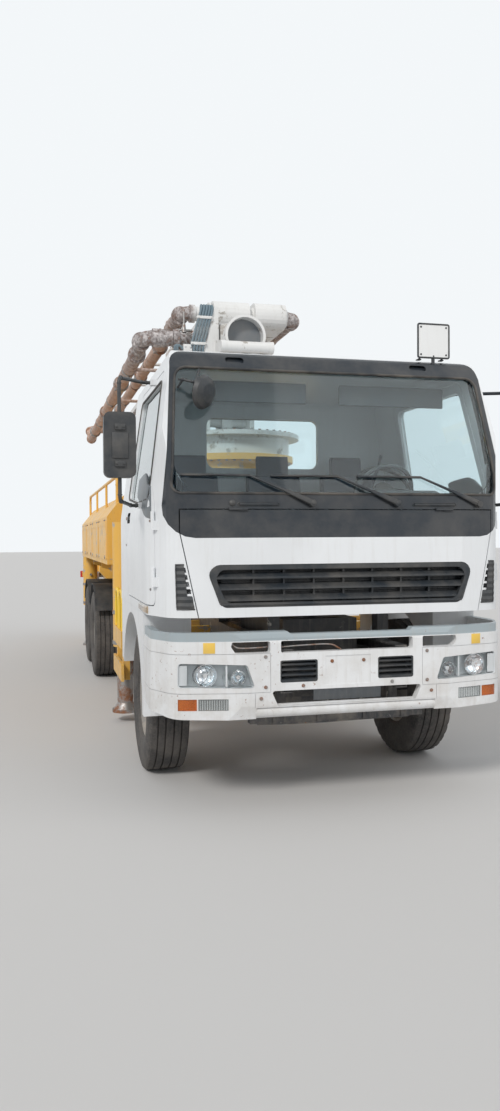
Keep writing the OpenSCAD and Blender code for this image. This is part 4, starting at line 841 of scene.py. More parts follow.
def corner_vents():
    """A black louvred insert over the slots at each front corner."""
    for side, sign in SIDES:
        form = Form()
        rows = []
        for k in range(15):
            v = k / 14
            z = 1.306 + 0.277 * v
            push = Vector((0, -0.0075 if k % 2 else -0.003, 0))
            line = [vent_place(sign * (0.944 + 0.053 * v + (0.139 - 0.047 * v) * t / 4), z)
                    for t in range(5)]
            rows.append([q + push for q in line] + [q + Vector((0, 0.002, 0)) for q in reversed(line)])
        form.grid(rows)
        rim_line = [row[0] for row in rows] + rows[-1][1:5]
        rim_line += [row[4] for row in rows[-2::-1]] + rows[0][3:0:-1]
        form.tube(rim_line, 0.005, 8, closed=True)
        form.piece(f"corner_vent_{side}", BLACK, smooth=20)


def grille_mesh():
    """The dark screen behind the slats, and the lip round the opening."""
    form = Form()
    for z in [1.325 + 0.0125 * i for i in range(20)]:
        half = 0.80 + (z - 1.325) * 0.33
        form.rod(at(-half, 0.1120, z), at(half, 0.1120, z), 0.0030, 6)
    for x in [-0.80 + 0.04 * i for i in range(41)]:
        form.rod(at(x, 0.1145, 1.322), at(x, 0.1145, 1.570), 0.0022, 6)
    form.box(at(-0.80, 0.116, 1.320), at(0.80, 0.119, 1.572))
    form.piece("grille_mesh", BLACK, "front_lid")
    trim = Form()
    line = loop([(-0.806, 1.316, 0.05), (0.806, 1.316, 0.05), (0.901, 1.577, 0.06), (-0.901, 1.577, 0.06)],
                6)
    seal(trim, grown(line, (0, 1.45), 0.006), "front_lid", 0.006, front_hit)
    trim.piece("grille_lip", BLACK, "front_lid")


def bumper_details():
    """Screws, blank stickers, wires in the slots, the tow plate and the fittings under the beam."""
    screws = Form()
    for x, z in ((-0.107, 0.962), (0.107, 0.962), (-0.545, 1.005), (-0.545, 0.815), (0.545, 1.005),
                 (0.545, 0.815),
                 (-0.575, 0.745), (0.575, 0.745), (-0.30, 0.815), (0.30, 0.815)):
        place, out = front_hit("bumper", x, z)
        bolt(screws, place, out, 0.009, 0.006)
    screws.piece("bumper_screws", STEEL)
    for name, x in (("sticker_right", -0.895), ("sticker_left", 0.921)):
        form = Form()
        rows = []
        for b in (1.033, 1.066, 1.099):
            line = [front_hit("bumper", x + a, b) for a in (-0.036, 0, 0.036)]
            rows.append([q + n * 0.002 for q, n in line] + [q + n * 0.0002 for q, n in reversed(line)])
        form.grid(rows)
        form.piece(name, STICKER, bevel=0.0004)
    wires = Form()
    wires.tube(curve([at(-0.75, 0.045, 1.085), at(-0.71, 0.035, 1.062), at(-0.60, 0.035, 1.060),
                      at(-0.52, 0.05, 1.062)]),
               0.0045, 8)
    wires.tube(curve([at(-0.43, 0.05, 1.058), at(-0.30, 0.035, 1.066), at(-0.12, 0.03, 1.068),
                      at(-0.06, 0.03, 1.045),
                      at(-0.02, 0.05, 1.02)]), 0.0045, 8)
    wires.piece("slot_wires", STEEL)
    plate = Form()
    rows = []
    for i in range(33):
        x = -0.20 + 0.46 * i / 32
        y = 0.100 + 0.004 * math.sin(i * 1.9)
        rows.append([at(x, y, 0.700), at(x, y, 0.782), at(x, y + 0.010, 0.782), at(x, y + 0.010, 0.700)])
    plate.grid(rows)
    plate.piece("tow_plate", GREY_AND_PAINTED_SHADE, smooth=50)
    under = Form()
    for x in (-0.42, -0.12, 0.20, 0.47):
        under.box(at(x - 0.03, 0.178, 0.545), at(x + 0.03, 0.189, 0.615))
        bolt(under, at(x, 0.178, 0.585), (0, -1, 0), 0.012)
    under.tube(curve([at(-0.55, 0.20, 0.548), at(-0.2, 0.215, 0.536), at(0.15, 0.21, 0.542),
                      at(0.5, 0.20, 0.548)]), 0.011, 10)
    under.piece("under_beam_fittings", FRAME, bevel=0.001)


def lamp_piece(form, name, look, **finish):
    made = form.piece(name, look, **finish)
    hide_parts("lamps")


def headlamps():
    """Clear covers over bright bowls, each in a grey housing; low amber and fog lamps; red rear lamps."""
    for side, sign in SIDES:
        cover = chosen("lamps",
                       lambda c, n: n.y < -0.3 and c.x * sign > 0.6 and 0.80 < c.z < 0.99 and c.y < 0.6)
        bmesh.ops.solidify(cover.bm, geom=cover.bm.faces[:], thickness=0.003)
        lamp_piece(cover, f"headlamp_cover_{side}", CLEAR)

        outline = loop([(0.6123, CREASE_LOW + 0.0303, 0.015), (1.0867, CREASE_LOW + 0.0383, 0.02),
                        (1.0857, CREASE_LOW + 0.1897, 0.02), (0.6633, CREASE_LOW + 0.1747, 0.02)])
        housing = Form()
        inner = grown(outline, (0.86, 0.89), -0.006)

        def depth(x):
            return 0.018 + 0.22 * max(0.0, x - 0.70) ** 1.35

        rows = []
        for line, back in ((outline, 0.004), (outline, 0.070), (inner, 0.070), (inner, 0.008)):
            rows.append([at(sign * x, depth(x) + back, z) for x, z in line])
        housing.grid(rows, closed=True)
        rows = [[at(sign * x, depth(x) + back, z) for x, z in inner] for back in (0.066, 0.052)]
        housing.grid(rows)
        x = 0.787
        housing.box(at(sign * x - 0.006, depth(x) + 0.006, 0.822),
                    at(sign * x + 0.006, depth(x) + 0.055, 0.962))
        lamp_piece(housing, f"headlamp_housing_{side}", LAMP_GREY, bevel=0.0015)

        bright = Form()
        for x, z, r in ((0.915, 0.893, 0.068), (0.712, 0.878, 0.045)):
            y = depth(x) + 0.014
            profile = [(0.0, r), (0.012, r * 0.97), (0.026, r * 0.80), (0.036, r * 0.55), (0.041, r * 0.22)]
            profile += [(0.0435, r * 0.22), (0.039, r * 0.58), (0.028, r * 0.84), (0.012, r * 1.04),
                        (0.0, r * 1.05)]
            bright.lathe(profile, at(sign * x, y, z), (0, 1, 0), 40)
            bright.knob([(0.0, 0.013), (0.014, 0.013)], at(sign * x, y + 0.012, z), (0, 1, 0), 20)
            for turn in range(3):
                t = 2 * math.pi * turn / 3 + 0.5
                bright.rod(at(sign * x, y + 0.016, z),
                           at(sign * x + math.cos(t) * r * 0.95, y + 0.012, z + math.sin(t) * r * 0.95),
                           0.0025, 6)
        lamp_piece(bright, f"headlamp_bowls_{side}", REFLECTOR)

        strip = Form()
        for k in range(9):
            x = 1.030 + 0.0062 * k
            strip.rod(at(sign * x, depth(x) + 0.020, 0.832), at(sign * x, depth(x) + 0.020, 0.958), 0.0034,
                      6)
        lamp_piece(strip, f"headlamp_strip_{side}", LAMP_GREY)

        for name, low, high, material in (("indicator", 0.966, 1.2, AMBER), ("fog_lamp", 0.7, 0.966, FOG)):
            lens_form = chosen("lamps", lambda c, n: low < c.x * sign < high and c.z < 0.76 and c.y < 0.7)
            lamp_piece(lens_form, f"{name}_{side}", material)
        fins = Form()
        for k in range(12):
            x = 0.790 + 0.0145 * k
            y = front_hit("lamps", sign * x, 0.712)[0].y - FRONT
            fins.rod(at(sign * x, y - 0.0006, 0.682), at(sign * x, y - 0.0006, 0.742), 0.0012, 6)
        lamp_piece(fins, f"fog_lamp_flutes_{side}", LAMP_GREY)

        rear = chosen("lamps", lambda c, n: c.x * sign > 0.6 and c.y > 3.0)
        lamp_piece(rear, f"rear_lamp_{side}", RED, bevel=0.004)


def roof_sign():
    form = Form()
    form.box(at(0.674, 0.3895, 3.004), at(0.896, 0.3925, 3.226))
    form.material = 1
    line = rounded(0.668, 0.902, 2.998, 3.232, 0.012)
    form.tube([at(x, 0.391, z) for x, z in line], 0.0065, 8, closed=True)
    for x in (0.70, 0.87):
        form.rod(at(x, 0.408, 3.01), at(x, 0.450, 2.996), 0.007, 8)
        form.box(at(x - 0.014, 0.436, 2.990), at(x + 0.014, 0.470, 2.997))
    for x, z in ((0.69, 3.02), (0.88, 3.02), (0.69, 3.21), (0.88, 3.21)):
        bolt(form, at(x, 0.3895, z), (0, -1, 0), 0.005, 0.003)
    form.piece("roof_sign_face", [SIGN, BLACK])


def mirror_details():
    """Glass and clamps for the two side mirrors, and the near mirror's ball joints."""
    for side, sign in SIDES:
        form = Form()
        x = sign * 1.410
        glass_line = rounded(x - 0.086, x + 0.086, 2.144, 2.526, 0.03)
        form.grid([[at(a, y, z) for a, z in glass_line] for y in (0.3225, 0.3255)])
        form.piece(f"mirror_glass_{side}", MIRROR, f"door_{side}")
        trim = Form()
        for z in (2.215, 2.445):
            trim.rod(at(x, 0.250, z), at(x, 0.312, z), 0.022, 16)
            trim.box(at(x - 0.032, 0.240, z - 0.018), at(x + 0.032, 0.256, z + 0.018))
            for a in (-0.022, 0.022):
                bolt(trim, at(x + a, 0.240, z), (0, -1, 0), 0.006, 0.005)
        trim.box(at(x - 0.05, 0.247, 2.25), at(x + 0.05, 0.256, 2.41))
        trim.piece(f"mirror_clamps_{side}", BLACK, f"door_{side}", bevel=0.0015)
    form = Form()
    for place, r in ((at(-0.940, 0.190, 2.730), 0.017), (at(-1.016, 0.230, 2.750), 0.014),
                     (at(-0.887, 0.160, 2.672), 0.020)):
        ball = [(r * math.sin(t), r * math.cos(t)) for t in [math.pi * (i / 10 - 0.5) for i in range(11)]]
        form.lathe([(a, max(q, 0.0005)) for a, q in ball], place, (0.3, 0.2, 1), 20, False)
        form.rod(place - Vector((0.03, 0, 0)), place + Vector((0.03, 0, 0)), r * 0.55, 12)
    form.piece("near_mirror_joints", BLACK)


# Cab sides and inside

DOOR_WINDOW = [(0.375, 2.010, 0.05), (0.545, 2.790, 0.06), (1.630, 2.800, 0.06), (1.630, 2.060, 0.06),
               (1.000, 2.010, 0.2)]
REAR_WINDOW = [(-0.5, 2.35, 0.07), (0.5, 2.35, 0.07), (0.5, 2.78, 0.07), (-0.5, 2.78, 0.07)]


def cab_sides():
    """Window rubber, a lock, screws and a marker lamp on each side, and the rear window's rubber."""
    for side, sign in SIDES:
        door = f"door_{side}"
        form = Form()
        line = dense(grown(loop(DOOR_WINDOW), (1.0, 2.4), 0.010))
        seal(form, line, door, 0.008, lambda node, y, z: side_hit(node, sign, y, z))
        form.piece(f"door_rubber_{side}", RUBBER, door)
        lock = Form()
        place, out = side_hit(door, sign, 1.635, 1.905)
        lock.knob([(0.0, 0.014), (0.004, 0.013), (0.005, 0.006)], place, out, tip=0.002)
        for y, z in ((0.36, 1.42), (0.36, 1.86), (1.655, 1.70)):
            found = side_hit(door, sign, y, z)
            if found:
                bolt(lock, found[0], found[1], 0.007, 0.004)
        lock.piece(f"door_lock_{side}", STEEL, door)
        lamp = Form()
        line = [side_hit("cab_shell", sign, 0.40 + 0.045 * k, 1.285) for k in range(9)]
        rows = []
        for height in (-0.024, -0.016, 0.016, 0.024):
            puff = 0.012 if abs(height) < 0.02 else 0.004
            up = Vector((0, 0, height))
            rows.append([q + up + n * puff for q, n in line] + [q + up for q, n in reversed(line)])
        lamp.grid(rows)
        lamp.piece(f"marker_lamp_{side}", SIDE_LENS)
    form = Form()
    seal(form, dense(grown(loop(REAR_WINDOW), (0, 2.56), 0.008)), "cab_shell", 0.009,
         lambda node, x, z: hit(node, at(x, 4.0, z), (0, -1, 0)))
    form.piece("rear_window_rubber", RUBBER)


# The grey moulding under a side window: its lower and upper edge, as (y, low, high)
MOULDING_EDGES = ((0.345, 1.872, 2.085), (0.42, 1.885, 2.092), (0.50, 1.903, 2.112), (0.58, 1.925, 2.165),
                  (0.66, 1.948, 2.188),
                  (0.75, 1.972, 2.186), (0.84, 2.000, 2.180), (0.93, 2.036, 2.172), (0.985, 2.070, 2.160))


def door_mouldings():
    for side, sign in SIDES:
        door = f"door_{side}"
        skin = abs(side_hit(door, sign, 0.8, 1.985)[0].x)
        proud = skin - abs(side_hit(f"door_glass_{side}", sign, 0.8, 2.045)[0].x)

        def place(y, z):
            found = side_hit(door, sign, y, z)
            if found and abs(found[0].x) > 1.12:
                return found[0]
            return side_hit(f"door_glass_{side}", sign, y, z)[0] + Vector((sign * proud, 0, 0))

        form = Form()
        rows = []
        for y, low, high in MOULDING_EDGES:
            line = [place(y, low + (high - low) * k / 6) for k in range(7)]
            rows.append([q + Vector((sign * 0.004, 0, 0)) for q in line]
                        + [q - Vector((sign * 0.010, 0, 0)) for q in reversed(line)])
        form.grid(rows)
        form.piece(f"door_moulding_{side}", MOULDING, door, bevel=0.002)


def cab_inside():
    """Sun visors, the dash top and its instrument hood, the steering wheel, the belts and seat trim."""
    form = Form()

    def carried(outline, x0, x1):
        form.prism([(FRONT + y, z) for y, z in outline], x0, x1)

    for x0, x1 in ((-0.90, -0.12), (0.12, 0.90)):
        carried(rounded(0.485, 0.505, 2.660, 2.800, 0.008, 3), x0, x1)
    carried([(0.30, 1.965), (0.36, 2.045), (0.46, 2.075), (0.58, 2.035), (0.60, 1.975)], 0.33, 0.83)
    carried([(0.30, 1.96), (0.34, 1.99), (0.52, 2.005), (0.57, 1.975)], -0.92, 0.28)
    for x in (-0.72, -0.30, 0.08):
        form.box(at(x - 0.07, 0.40, 2.000), at(x + 0.07, 0.47, 2.012))
    form.piece("dash_top", INTERIOR, bevel=0.004)
    steering = Form()
    centre = at(0.580, 0.800, 2.080)
    tilt = Vector((0, -math.sin(math.radians(60)), math.cos(math.radians(60))))
    across = Vector((1, 0, 0))
    up = tilt.cross(across)
    ring = [centre + (across * math.cos(t) + up * math.sin(t)) * 0.215 for t in turns(48)]
    steering.tube(ring, 0.0175, 12, closed=True)
    boss = [(-0.03, 0.06), (0.0, 0.085), (0.022, 0.075), (0.030, 0.04)]
    steering.knob(boss, centre, tilt, 32, tip=0.032)
    steering.piece("steering_wheel", BLACK)
    belts = Form()
    for x in (-0.58, 0.58):
        belts.tube(curve([at(x * 1.66, 1.78, 2.45), at(x * 1.55, 1.72, 2.30), at(x * 1.35, 1.68, 2.00),
                          at(x * 1.32, 1.66, 1.75)]),
                   0.012, 6)
        for way in (-1, 1):
            edge = x + way * 0.21
            belts.tube([at(edge, 1.60, 1.72), at(edge, 1.30, 1.725), at(x + way * 0.16, 1.22, 1.722)],
                       0.018, 8)
        for k in range(5):
            y = 1.20 + 0.08 * k
            belts.tube([at(x - 0.17, y, 1.704), at(x, y, 1.707), at(x + 0.17, y, 1.704)], 0.006, 6)
    belts.piece("seat_trim", SEAT)


# Turret and booms

FOOT = (2.450, 3.520)
KNUCKLE_2 = (10.150, 3.670)
KNUCKLE_3 = (2.750, 3.830)
PIPE_R = 0.066
SIDE_CYLINDER_X = -0.415


def cap(form, place, normal, radius, bolts=6):
    """A pin's end plate with its bolts."""
    n, side, other = square(normal)
    form.knob([(0.0, radius), (0.008, radius), (0.012, radius * 0.94)], place, n, 40)
    for t in turns(bolts):
        bolt(form, place + n * 0.012 + (side * math.cos(t) + other * math.sin(t)) * radius * 0.68, n, 0.011,
             0.009)


def pin_caps():
    for name, body, spots in (
        ("turret_pin_caps", "turret", ((at(-0.402, *FOOT), -1, 0.078), (at(0.092, *FOOT), 1, 0.078),
                                       (at(-0.347, 2.950, 2.850), -1, 0.062),
                                       (at(0.047, 2.950, 2.850), 1, 0.062))),
        ("knuckle_2_caps", "boom_2",
         ((at(0.020, *KNUCKLE_2), 1, 0.078), (at(-0.355, *KNUCKLE_2), -1, 0.084))),
    ):
        form = Form()
        for place, sign, radius in spots:
            cap(form, place, (sign, 0, 0), radius)
        form.piece(name, STEEL, body)


def ring_bolts():
    """Two rings of bolts: on the slewing ring and under the pedestal's flange."""
    for name, body, z, r, up in (
        ("slew_ring_bolts", "turret", RING_HIGH, 0.622, 1),
        ("pedestal_bolts", "chassis", 2.490, 0.565, -1),
    ):
        form = Form()
        for t in turns(48, 0.5):
            bolt(form, at(r * math.cos(t), SLEW_Y + r * math.sin(t), z), (0, 0, up), 0.013, 0.012)
        form.piece(name, STEEL, body)


def pipe_clamp(form, place, axis):
    """A hinged coupling round a pipe, with its ears and bolt."""
    shoulder, crown = PIPE_R + 0.012, PIPE_R + 0.020
    half = [(-0.030, PIPE_R), (-0.030, shoulder), (-0.018, crown)]
    form.lathe(half + [(-a, r) for a, r in reversed(half)], place, axis, 32)
    axis, side, _ = square(axis)
    for sign in (-1, 1):
        ear = place + side * sign * crown
        form.rod(ear - axis * 0.024, ear + axis * 0.024, 0.014, 12)
        form.hexagon(ear + axis * 0.022, axis, 0.013, 0.012)


def boom_pipes():
    """Couplings and saddles along the pipes of the three sections, and the thin lines on their webs."""
    tables = {
        "boom_1": ([at(-1.000, 2.45 + k * 7.70, 3.460) for k in (0.15, 0.41, 0.67)],
                   [at(-1.000, y, 3.460) for y in (4.45, 6.60, 8.75)]),
        "boom_2": ([at(-0.600, 2.75 + k * 7.40, 3.831 + k * 0.021) for k in (0.33, 0.52, 0.71)],
                   [at(-0.600, y, 3.830 + 0.020 * (y - 2.75) / 7.05) for y in (4.20, 6.00, 9.00)]),
        "boom_3": ([at(0.480, 2.75 + k * 7.15, 3.830) for k in (0.12, 0.40, 0.68, 0.96)],
                   [at(0.480, y, 3.830) for y in (4.6, 6.7, 8.8)]),
    }
    for body, (saddles, couplings) in tables.items():
        form = Form()
        for place in couplings:
            pipe_clamp(form, place, (0, 1, 0))
        for place in saddles:
            form.band(place, (0, 1, 0), -0.022, 0.022, PIPE_R, PIPE_R + 0.007)
            for up in (-1, 1):
                form.box(place + Vector((-0.014, -0.022, up * PIPE_R - 0.012)),
                         place + Vector((0.014, 0.022, up * PIPE_R + 0.012)))
                form.hexagon(place + Vector((0, 0, up * (PIPE_R + 0.012))), (0, 0, up), 0.010, 0.010)
        form.piece(f"{body}_pipe_clamps", STEEL, body, bevel=0.001)
    for body, x, y0, y1, heights, out in (
        ("boom_1", -0.330, 3.05, 8.05, (3.555, 3.585, 3.380), -1),
        ("boom_2", -0.320, 4.95, 9.35, (3.800, 3.830, 3.860), -1),
        ("boom_3", 0.370, 3.35, 9.60, (3.895, 3.920), 1),
    ):
        lines = Form()
        for z in heights:
            lines.tube([at(x + out * 0.014, y, z) for y in (y0, (y0 + y1) / 2, y1)], 0.009, 10)
        count = 7
        low, high = min(heights[:2]), max(heights[:2])
        face = x + out * 0.028
        for k in range(count):
            y = y0 + (y1 - y0) * (k + 0.5) / count
            lines.box(at(min(x, face), y - 0.02, low - 0.018), at(max(x, face), y + 0.02, high + 0.018))
            bolt(lines, at(face, y, (low + high) / 2), (out, 0, 0), 0.007, 0.006)
        lines.piece(f"{body}_lines", STEEL, body, bevel=0.001)


def crust():
    """Lumps of dried concrete on the pipe at the boom's foot and behind the third knuckle."""
    for name, body, a, b in (
        ("foot_crust", "boom_1", at(-0.765, *FOOT), at(-0.905, *FOOT)),
        ("knuckle_crust", "boom_2", at(-0.600, 3.10, 3.831), at(-0.600, 3.42, 3.832)),
    ):
        form = Form()
        _, side, other = square(b - a)
        rows = []
        for k in range(13):
            c = a.lerp(b, k / 12)
            swell = 0.004 + 0.012 * math.sin(math.pi * k / 12)
            rows.append([
                c + (side * math.cos(t) + other * math.sin(t)) * (PIPE_R + swell * random.uniform(0.2, 1.3))
                for t in turns(30)
            ])
        form.grid(rows)
        form.piece(name, PIPE, body, smooth=60)


# The first hose of each fan at the boom's foot: x, the step in x to the next hose, y and z
LONG_FAN = (
    (-0.405, 0.028, 2.795, 2.930), (-0.420, 0.027, 2.660, 3.010), (-0.440, 0.027, 2.500, 3.170),
    (-0.470, 0.027, 2.330, 3.300), (-0.492, 0.027, 2.283, 3.400), (-0.450, 0.026, 2.283, 3.580),
    (-0.408, 0.025, 2.283, 3.740), (-0.402, 0.023, 2.335, 3.800), (-0.400, 0.021, 2.415, 3.785),
    (-0.402, 0.019, 2.455, 3.700),
)
SHORT_FAN = (
    (-0.700, 0.012, 2.290, 3.430), (-0.716, 0.012, 2.292, 3.400), (-0.690, 0.018, 2.340, 3.290),
    (-0.585, 0.026, 2.500, 3.170), (-0.560, 0.027, 2.660, 3.010), (-0.545, 0.029, 2.795, 2.930),
)


def fan(route, k):
    return [at(x - step * k, y, z) for x, step, y, z in route]


def foot_hoses():
    """Hoses clipped along the fin and the cheek's edge, a valve block, a bulkhead and the pipe's lever."""
    form = Form()
    fittings = Form()
    for k in range(5):
        form.tube(curve(fan(LONG_FAN, k), 6), 0.0115, 10)
        fittings.rod(at(-0.405 - 0.028 * k, 2.765, 2.947), at(-0.405 - 0.028 * k, 2.802, 2.930), 0.015, 6)
    for k in range(3):
        start = at(-0.664, 2.290 + 0.016 * k, 3.395 + 0.014 * k)
        form.tube(curve([start] + fan(SHORT_FAN, k), 6), 0.010, 10)
        fittings.rod(at(-0.545 - 0.029 * k, 2.765, 2.947), at(-0.545 - 0.029 * k, 2.802, 2.930), 0.014, 6)
    form.piece("foot_hoses", HOSE, "turret")
    fittings.piece("hose_fittings", STEEL, "turret")
    brackets = Form()
    for z, x0, x1 in ((3.450, -0.600, -0.462), (3.680, -0.545, -0.408)):
        brackets.box(at(x0, 2.266, z - 0.012), at(x1, 2.300, z + 0.012))
        for x in (x0 + 0.012, x1 - 0.012):
            bolt(brackets, at(x, 2.266, z), (0, -1, 0), 0.007, 0.006)
    for y, z in ((2.500, 3.170), (2.660, 3.010)):
        brackets.box(at(-0.665, y - 0.020, z - 0.014), at(-0.360, y + 0.020, z + 0.014))
    brackets.box(at(-0.640, 2.796, 2.880), at(-0.380, 2.808, 2.985))
    brackets.box(at(-0.500, 2.430, 3.655), at(-0.345, 2.490, 3.700))
    brackets.box(at(-0.665, 2.272, 3.375), at(-0.590, 2.335, 3.440))
    brackets.box(at(-0.600, 2.290, 3.385), at(-0.470, 2.303, 3.412))
    for x in (-0.650, -0.605):
        bolt(brackets, at(x, 2.272, 3.42), (0, -1, 0), 0.008, 0.007)
    brackets.piece("hose_brackets", BOOM, "turret", bevel=0.002)
    lever = Form()
    lever.rod(at(-0.630, 2.450, 3.580), at(-0.630, 2.450, 3.660), 0.022, 12, 0.012)
    lever.rod(at(-0.630, 2.450, 3.655), at(-0.632, 2.450, 3.790), 0.008, 10)
    lever.rod(at(-0.560, 2.450, 3.600), at(-0.700, 2.450, 3.600), 0.012, 10)
    lever.piece("pipe_lever", STEEL, "turret")


def glands():
    """The gland where each rod leaves its barrel, and the oil line between the barrel's two ports."""
    lift = ((2.950, 2.850), (4.450, 3.240), BOOM_X, 1.330, 0.088, 0.055)
    angle_2, angle_3 = math.radians(185), math.radians(-25)
    second = ((8.300, 3.420),
              (KNUCKLE_2[0] + 0.26 * math.cos(angle_2), KNUCKLE_2[1] + 0.26 * math.sin(angle_2)),
              SIDE_CYLINDER_X, 1.300, 0.068, 0.036)
    third = ((4.700, 3.850),
             (KNUCKLE_3[0] + 0.26 * math.cos(angle_3), KNUCKLE_3[1] + 0.26 * math.sin(angle_3)),
             SIDE_CYLINDER_X, 1.400, 0.060, 0.026)
    for n, (foot, eye, x, length, r, rod_r) in enumerate((lift, second, third), 1):
        a, b = at(x, *foot), at(x, *eye)
        d = (b - a).normalized()
        form = Form()
        front = a + d * length
        form.lathe([(-0.060, r - 0.002), (-0.060, r + 0.007), (-0.004, r + 0.007), (0.006, r - 0.004),
                    (0.006, rod_r + 0.003),
                    (0.0, rod_r + 0.003)], front, d, 40)
        side = d.cross(Vector((1, 0, 0))).normalized()
        if side.z < 0:
            side = -side
        for share in (0.10, 0.90):
            c = a + d * length * share + side * r
            form.knob([(-0.006, 0.022), (0.020, 0.022)], c, side, 20)
        line_a, line_b = (a + d * length * share + side * (r + 0.022) for share in (0.10, 0.90))
        form.tube([line_a, line_a.lerp(line_b, 0.5), line_b], 0.008, 8)
        form.piece(f"gland_{n}", STEEL, f"barrel_{n}")


# Bodywork behind the cab

DECK_Y = (3.610, 8.450)
DECK_LOW, DECK_HIGH = 1.490, 1.975
SIDE = 1.235
RAIL_X = 0.430


def deck_doors():
    """Locker doors along both sides, with hinges over and turn latches under, and the tread on top."""
    for side, sign in SIDES:
        form = Form()
        fittings = Form()
        count = 4
        pitch = (DECK_Y[1] - DECK_Y[0] - 0.12) / count
        for k in range(count):
            y0 = DECK_Y[0] + 0.08 + k * pitch
            y1 = y0 + pitch - 0.04
            line = rounded(y0, y1, DECK_LOW + 0.045, DECK_HIGH - 0.040, 0.025, 4)
            inner = rounded(y0 + 0.05, y1 - 0.05, DECK_LOW + 0.095, DECK_HIGH - 0.090, 0.02, 4)
            rows = [(line, -0.001), (line, 0.006), (inner, 0.006), (inner, 0.0025)]
            form.grid([[at(sign * (SIDE + x), y, z) for y, z in pairs] for pairs, x in rows])
            face = sign * (SIDE + 0.006)
            for y in (y0 + 0.16, y1 - 0.16):
                fittings.rod(at(face, y - 0.05, DECK_HIGH - 0.034), at(face, y + 0.05, DECK_HIGH - 0.034),
                             0.007, 10)
                place = at(face, y, DECK_LOW + 0.070)
                fittings.knob([(0.0, 0.019), (0.004, 0.018)], place, (sign, 0, 0), tip=0.005)
                fittings.box(place + Vector((sign * 0.004 - 0.003, -0.004, -0.016)),
                             place + Vector((sign * 0.004 + 0.003, 0.004, 0.016)))
        form.piece(f"deck_doors_{side}", YELLOW, smooth=25)
        fittings.piece(f"deck_fittings_{side}", STEEL)
        tread = Form()
        y = DECK_Y[0] + 0.05
        row = 0
        while y < DECK_Y[1] - 0.05:
            x = 0.53 + (0.03 if row % 2 else 0)
            while x < 1.03:
                c = at(sign * x, y, 2.190)
                lean = 0.010 if (row + round(x * 100)) % 2 else -0.010
                ends = [c + Vector((-0.013, -lean, 0)), c + Vector((0, -0.004, 0)),
                        c + Vector((0.013, lean, 0)), c + Vector((0, 0.004, 0))]
                top = [c.lerp(q, 0.6) + Vector((0, 0, 0.0025)) for q in ends]
                tread.grid([ends, top])
                x += 0.06
            y += 0.045
            row += 1
        tread.piece(f"deck_tread_{side}", STEEL)


def running_gear():
    """Frame bolts, air tanks, the propeller shaft, mudflaps, the tank's straps and cap."""
    bolts = Form()
    for sign in (-1, 1):
        for k in range(24):
            y = 2.45 + 0.285 * k
            for z in (0.86, 0.94):
                bolt(bolts, at(sign * RAIL_X, y, z), (sign, 0, 0), 0.012, 0.010)
    bolts.piece("frame_bolts", FRAME)

    tanks = Form()
    for x, y in ((-0.20, 3.95), (0.20, 3.95)):
        profile = [(0.0, CORE), (0.010, 0.06), (0.035, 0.105), (0.075, 0.125), (0.62, 0.125), (0.66, 0.105)]
        profile += [(0.685, 0.06), (0.695, CORE)]
        tanks.lathe(profile, at(x, y, 0.640), (0, 1, 0), 32, False)
        for share in (0.16, 0.52):
            tanks.band(at(x, y + share, 0.640), (0, 1, 0), 0, 0.035, 0.1245, 0.130)
            tanks.box(at(x - 0.012, y + share, 0.755), at(x + 0.012, y + share + 0.035, 0.80))
    tanks.piece("air_tanks", FRAME)

    shaft = Form()
    a, b = at(0, 1.86, 0.760), at(0, 5.74, 0.570)
    shaft.rod(a, b, 0.050, 24)
    d = (b - a).normalized()
    for share in (0.02, 0.50, 0.97):
        shaft.lathe([(-0.05, 0.049), (-0.05, 0.085), (-0.03, 0.085), (-0.02, 0.062), (0.02, 0.062),
                     (0.03, 0.085), (0.05, 0.085),
                     (0.05, 0.049)], a.lerp(b, share), d, 32)
    shaft.piece("propeller_shaft", FRAME)

    flaps = Form()
    y = 8.135
    across = (0.62, 0.90, 1.20)
    for sign in (-1, 1):
        rows = []
        for k in range(9):
            z = 0.30 + 0.075 * k
            sway = 0.004 * math.sin(k * 1.1)
            front = [at(sign * x, y + sway + (0.003 if x == 0.90 else 0), z) for x in across]
            back = [at(sign * x, y + sway + (0.012 if x == 0.90 else 0.009), z) for x in reversed(across)]
            rows.append(front + back)
        flaps.grid(rows)
        flaps.rod(at(sign * 0.60, y + 0.004, 0.905), at(sign * 1.21, y + 0.004, 0.905), 0.014, 12)
        flaps.rod(at(sign * 0.43, y + 0.004, 0.905), at(sign * 0.62, y + 0.004, 0.905), 0.018, 12)
    flaps.piece("mudflaps", RUBBER)

    straps = Form()
    outline = loop([(0.430, 0.620, 0), (1.150, 0.620, 0.09), (1.150, 1.180, 0.09), (0.430, 1.180, 0)])
    wide = grown(outline, (0.70, 0.90), 0.004)
    for y in (4.12, 4.50, 4.88):
        rows = [[at(x, y + dy, z) for x, z in pairs] for pairs, dy in
                ((outline, -0.02), (wide, -0.02), (wide, 0.02), (outline, 0.02))]
        straps.grid(rows, closed=True)
    lid = [(-0.01, 0.050), (0.022, 0.050), (0.030, 0.042)]
    straps.knob(lid, at(0.98, 4.32, 1.182), (0, 0, 1), 32, tip=0.032)
    straps.piece("tank_straps", STEEL)


